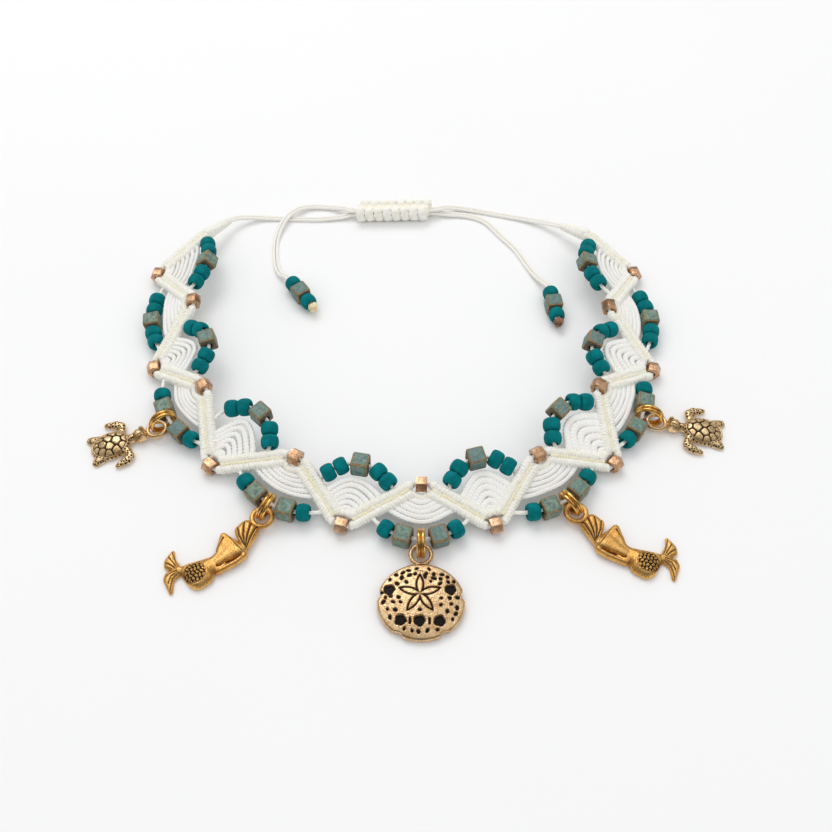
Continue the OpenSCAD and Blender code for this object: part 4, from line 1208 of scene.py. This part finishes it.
mermaid = {
    "scale": 1.015, "length": 23.6, "loopRadius": 2.03, "loopWire": 0.56, "smoothing": 14,
    "lumps": [
        [(-0.1, -3.5, 1.6, 1.5, 1.6), (1.3, -3.0, 1.5, 1.2, 1.6), (-0.2, -5.0, 1.2, 1.2, 1.5),
         (4.1, -6.4, 0.5, 0.6, 1.4)],
        [(-1.2, -8.2, 0.7, 0.75, 1.3), (3.9, -6.9, 1.1, 0.9, 1.6), (3.0, -9.2, 1.7, 1.3, 1.6),
         (0.6, -9.4, 1.0, 1.2, 1.5)],
        [(-1.2, -8.3, 0.65, 0.8, 1.3), (3.1, -9.0, 1.7, 1.3, 1.6), (2.0, -10.8, 1.5, 1.0, 1.5)],
        [(3.2, -9.6, 1.6, 1.3, 1.6), (2.3, -10.8, 1.6, 1.0, 1.5), (2.9, -13.2, 1.45, 1.0, 1.5)],
        [(4.4, -11.6, 0.5, 0.6, 1.1), (3.4, -13.0, 1.2, 1.0, 1.45), (4.9, -13.2, 0.6, 0.6, 1.2)],
        [(2.7, -12.8, 1.5, 1.0, 1.5), (3.0, -16.2, 2.5, 2.6, 2.1), (1.0, -17.6, 1.4, 1.5, 1.5)],
        [(3.3, -15.3, 2.7, 1.7, 2.0), (3.7, -17.2, 2.4, 2.0, 1.9), (0.3, -18.4, 0.9, 0.9, 1.1)],
        [(0.2, -18.8, 0.7, 0.7, 1.1), (-2.3, -20.2, 0.8, 0.85, 0.9), (-3.0, -19.2, 0.9, 1.0, 0.95)],
        [(-2.3, -20.2, 0.8, 0.85, 0.9), (-3.0, -19.2, 0.9, 1.0, 0.95), (-3.3, -19.6, 0.7, 0.8, 0.85),
         (-4.3, -17.9, 0.35, 0.4, 0.75)],
        [(0.2, -18.8, 0.7, 0.7, 1.1), (-0.4, -21.1, 0.9, 0.85, 0.9), (0.5, -21.3, 1.0, 0.9, 0.95)],
        [(-0.4, -21.1, 0.9, 0.85, 0.9), (0.5, -21.3, 1.0, 0.9, 0.95), (0.2, -21.9, 0.8, 0.7, 0.85),
         (3.2, -22.6, 0.38, 0.4, 0.75)],
        [(5.1, -7.2, 0.6, 0.6, 1.3), (5.3, -9.3, 0.6, 0.6, 1.25)],
        [(5.3, -9.3, 0.6, 0.6, 1.25), (4.9, -13.2, 0.6, 0.6, 1.2)]],
    "hairTip": (3.9, -6.3), "hairStarts": [(-1.2, -4.9), (-0.85, -3.5), (0.15, -2.5), (1.4, -2.1)],
    "scales": (2.75, -16.9, 2.25, 2.25),
    "grooves": [        # points, reach, depth, darkness, softness
        ([(-1.2, -7.1), (0.5, -7.4), (3.0, -7.3), (4.2, -7.2)], 0.1, 0.2, 0.6, 0.3),  # under the hair
        ([(1.2, -8.4), (2.3, -11.5), (3.0, -14.2)], 0.05, 0.22, 0.0, 1.5),            # spine
        ([(-0.5, -8.6), (0.75, -10.8), (1.8, -12.9)], 0.12, 0.25, 0.9, 0.3),          # left arm
        ([(4.6, -8.1), (4.5, -9.4), (4.25, -10.8)], 0.14, 0.8, 1.0, 0.3),             # between arm and back
        ([(4.15, -12.0), (4.0, -12.6)], 0.14, 0.7, 1.0, 0.3),
        ([(4.1, -10.8), (4.15, -12.0)], 0.08, 0.35, 0.7, 0.3),
        ([(3.7, -7.5), (5.3, -8.0)], 0.08, 0.16, 0.5, 0.3)],
    "flukeLines": [
        [(-0.6, -18.7), (-2.3, -18.5), (-4.1, -18.1)], [(-0.7, -19.0), (-2.5, -19.1), (-3.7, -19.2)],
        [(-0.6, -19.3), (-2.0, -19.8), (-3.1, -20.3)], [(0.0, -19.4), (-0.5, -20.6), (-0.3, -21.7)],
        [(0.3, -19.5), (0.3, -20.9), (1.2, -22.0)], [(0.6, -19.4), (1.0, -20.9), (2.8, -22.5)]]}


def modelMermaid():
    m = mermaid
    body = fuseParts([castLump(lump) for lump in m["lumps"]], castWork["lumpVoxel"], m["smoothing"])
    body.data.transform(Matrix.Scale(m["scale"], 4))
    charm = castBody("mermaidModel", [body, castLoop(m["loopRadius"], m["loopWire"], 0.95)])

    def reliefOf(points):
        p = points[:, :2] / m["scale"]
        relief = np.zeros((2, len(p)))

        def groove(line, reach, deep, shade=1.0, soft=0.3):
            d = lineDistance(p, line)
            press(relief, deep * softEdge(d, reach, soft), shade * softEdge(d, reach * 0.8, soft * 0.8))

        tip = np.array(m["hairTip"])
        for k, start in enumerate(m["hairStarts"]):
            start = np.array(start)
            middle = (start * 0.5 + tip * 0.5) + np.array([-0.35, -0.3]) * (1 - k * 0.35)
            last = tip + np.array([-0.75 + 0.3 * k, 0.25])
            groove([start, middle, last], 0.14, 0.35)
        for line in m["grooves"]:
            groove(*line)
        for line in m["flukeLines"]:
            groove(line, 0.1, 0.22, 0.9, 0.2)
        x0, y0, rx, ry = m["scales"]
        patch = np.hypot((p[:, 0] - x0) / rx, (p[:, 1] - y0) / ry)
        inside = softEdge(patch, 0.95, 0.1)
        u = (p[:, 0] - x0 + 0.16 * np.sin(2.7 * p[:, 1])) / 0.82
        v = (p[:, 1] - y0 + 0.14 * np.sin(2.9 * p[:, 0])) / 0.7
        row = np.floor(v)
        cu, cv = u + 0.5 * (row % 2), v - row
        cell = np.hypot(cu - np.floor(cu) - 0.5, (cv - 0.75) * 0.9)
        scale = np.clip((cell - 0.32) / 0.16, 0, 1)
        dot = softEdge(cell, 0.12, 0.1)
        press(relief, inside * (0.3 * scale + 0.15 * dot) - 0.05 * inside,
              inside * np.maximum(scale, 0.9 * dot))
        rim = softEdge(np.abs(patch - 1), 0.03, 0.06)
        press(relief, 0.12 * rim, 0.7 * rim)
        return relief

    carve(charm, reliefOf, mermaidGold)
    return charm


turtle = {
    "length": 15.9, "loopRadius": 1.95, "loopWire": 0.45, "smoothing": 4, "shell": (0, -10.2, 3.65, 4.35),
    "lumps": [
        [(0, -3.9, 1.7, 1.55, 1.9)],
        [(0, -4.8, 1.0, 0.9, 1.4), (0, -6.6, 1.15, 0.9, 1.3)],
        [(0, -8.4, 3.3, 2.5, 1.9), (0, -10.6, 3.6, 2.6, 2.0), (0, -12.9, 2.6, 1.6, 1.4)]],
    "front": [
        [(2.4, -7.3, 1.1, 0.9, 1.0), (4.2, -6.8, 1.0, 0.85, 0.95)],
        [(4.2, -6.8, 1.0, 0.85, 0.95), (5.2, -7.9, 0.85, 0.9, 0.85), (5.6, -9.9, 0.62, 0.65, 0.7)]],
    "hind": [[(2.2, -12.3, 1.4, 1.3, 1.1), (3.0, -14.0, 1.05, 0.9, 0.85)]],
    "eye": [[(-0.95, -3.1, 0.75, 0.72, 2.15)]],
    "plates": [
        (0, -6.9, 0.75), (1.5, -7.6, 0.75), (0, -8.6, 0.98), (2.2, -9.2, 0.8), (1.05, -10.2, 0.85),
        (2.5, -10.9, 0.7), (0, -11.6, 0.8), (1.6, -12.1, 0.7), (0.65, -13.2, 0.6)]}


def modelTurtle():
    s = turtle
    lumps = list(s["lumps"])
    for part in ("front", "hind", "eye"):      # each is there on both sides
        lumps += [[(side * x, *rest) for x, *rest in lump] for side in (1, -1) for lump in s[part]]
    plates = [(side * x, y, r) for x, y, r in s["plates"] for side in ((-1, 1) if x else (1,))]
    body = fuseParts([castLump(lump) for lump in lumps], castWork["lumpVoxel"], s["smoothing"])
    charm = castBody("turtleModel", [body, castLoop(s["loopRadius"], s["loopWire"])])

    def reliefOf(points):
        p = points[:, :2]
        x0, y0, rx, ry = s["shell"]
        shell = np.hypot((p[:, 0] - x0) / rx, (p[:, 1] - y0) / ry)
        inside = softEdge(shell, 0.84, 0.05)
        away = np.sort(np.stack([np.hypot(p[:, 0] - x, p[:, 1] - y) / r for x, y, r in plates]), axis=0)
        seam = np.clip(1.4 - (away[1] - away[0]) / 0.4, 0, 1)
        seam = np.maximum(seam, softEdge(np.abs(shell - 0.84), 0.03, 0.03))
        dot, ringed = softEdge(away[0], 0.13, 0.1), softEdge(np.abs(away[0] - 0.42), 0.04, 0.08)
        relief = np.stack([
            inside * (0.34 * seam + 0.1 * dot + 0.05 * ringed - 0.2 * np.clip(1 - away[0] ** 2, 0, 1)),
            inside * np.maximum(np.maximum(seam, dot), 0.75 * ringed)])
        rim = softEdge(np.abs(shell - 0.93), 0.045, 0.04)
        beat = np.cos(np.arctan2(p[:, 0] * 1.2, p[:, 1] - y0) * 30)
        press(relief, rim * 0.14 * np.clip(beat * 2, 0, 1), rim * np.clip(beat * 2 - 0.2, 0, 1) * 0.95)
        # pits over the flippers, away from their polished leading edge, and along the neck
        chance = random.Random(8)
        spots = [(chance.uniform(1.2, 6), chance.uniform(-15, -6.2)) for _ in range(900)]
        kept = []
        for x, y in spots:
            offShell = math.hypot((x - x0) / (rx + 0.1), (y - y0) / (ry + 0.1)) > 1.03
            if offShell and all(math.hypot(x - a, y - b) > 0.48 for a, b in kept):
                kept.append((x, y))
        kept = [(sx * x, y) for x, y in kept for sx in (-1, 1)]
        kept += [(sx * 0.5, -5.2 - 0.5 * k) for k in (0, 1) for sx in (-1, 1)]
        for x, y in kept + [(0, -4.9)]:
            mask = softEdge(np.hypot(p[:, 0] - x, p[:, 1] - y), 0.19, 0.1)
            press(relief, 0.18 * mask, mask)
        for sx in (-1, 1):
            d = lineDistance(p, [(sx * 0.75, -4.3), (sx * 0.35, -3.4), (sx * 0.2, -2.6)])
            press(relief, 0.15 * softEdge(d, 0.08, 0.15), 0.8 * softEdge(d, 0.07, 0.15))
        return relief

    carve(charm, reliefOf, turtleGold)
    return charm


dollarModel, mermaidModel, turtleModel = modelSandDollar(), modelMermaid(), modelTurtle()
castCharms = (
    ("sand_dollar_cast", "sand_dollar_charm", dollarModel, 2, sandDollar["length"]),
    ("mermaid_left_cast", "mermaid_charm_left", mermaidModel, 1, mermaid["length"]),
    ("mermaid_right_cast", "mermaid_charm_right", mermaidModel, 3, mermaid["length"]),
    ("turtle_left_cast", "turtle_charm_left", turtleModel, 0, turtle["length"]),
    ("turtle_right_cast", "turtle_charm_right", turtleModel, 4, turtle["length"]))
for seed, (name, node, model, c, length) in enumerate(castCharms, 1):
    place = charmPlaceAt(c, length)
    mirrored = name == "mermaid_right_cast"
    if mirrored:
        place = place @ Matrix.Scale(-1, 4, (1, 0, 0))
    piece = copiesOf(model, name, [place], seed, [node], "antique_gold")
    if mirrored:      # mirroring turns a mesh inside out
        editWhole(piece)
        bpy.ops.mesh.flip_normals()
        closeEdit()
print("charms: cast", [len(m.data.polygons) for m in (dollarModel, mermaidModel, turtleModel)])

# Studio: pale floor, soft light from behind and above
studio = {
    "floor": (0.935, 0.937, 0.938, 1), "shade": (0.92, 0.922, 0.925, 1), "floorSize": 3, "world": 0.83,
    "key": {"place": (-0.22, 0.62, 0.88), "size": (0.8, 0.5), "power": 3.6},
    "fill": {"place": (0.45, -0.2, 0.7), "size": (0.3, 0.3), "power": 0.25},
    "tent": [(0.72, 0.72, 0.72, 1), (1, 1, 1, 1)],
    "mirroredRoom": [(0.13, 0.125, 0.12, 1), (1, 1, 1, 1)], "mirroredFront": (0.07, 0.065, 0.06, 1)}

bpy.ops.mesh.primitive_plane_add(size=studio["floorSize"], location=(0, 0, 0))
floor = bpy.context.object
floor.name = "paleFloor"
material, shader = newMaterial("palePaper")
feed(shader, {"Base Color": mixColour(noiseOn(objectPlace(), 14, 3), studio["floor"], studio["shade"]),
              "Roughness": 0.8})
floor.data.materials.append(material)

for which in ("key", "fill"):
    data = bpy.data.lights.new(which + "Light", "AREA")
    data.shape = "RECTANGLE"
    data.size, data.size_y = studio[which]["size"]
    data.energy = studio[which]["power"]
    light = bpy.data.objects.new(which + "Light", data)
    bpy.context.scene.collection.objects.link(light)
    light.location = studio[which]["place"]
    light.rotation_euler = (-Vector(studio[which]["place"])).to_track_quat("-Z", "Y").to_euler()

world = bpy.data.worlds.new("studioWorld")
world.use_nodes = True
background = openTree(world.node_tree)["Background"]
direction = addNode("ShaderNodeTexCoord").outputs["Generated"]
x, y, z = addNode("ShaderNodeSeparateXYZ", {"Vector": direction}).outputs
tent = mixColour(ramp(z, 0.0, 0.7), *studio["tent"])
# what polished metal mirrors: a bright lamp overhead, a dim room in front
room = mixColour(ramp(z, 0.3, 0.85), *studio["mirroredRoom"])
room = mixColour(ramp(y, -0.12, -0.5, 0, 0.9), room, studio["mirroredFront"])
mirrorRay = addNode("ShaderNodeLightPath").outputs["Is Glossy Ray"]
feed(background, {"Color": mixColour(mirrorRay, tent, room), "Strength": studio["world"]})
bpy.context.scene.world = world
print("studio: lit")

for model in (tealModel, cubeModel, copperModel, ringModel, meltedCream, meltedBrown,
              dollarModel, mermaidModel, turtleModel):
    bpy.data.objects.remove(model)
print("anklet: done")
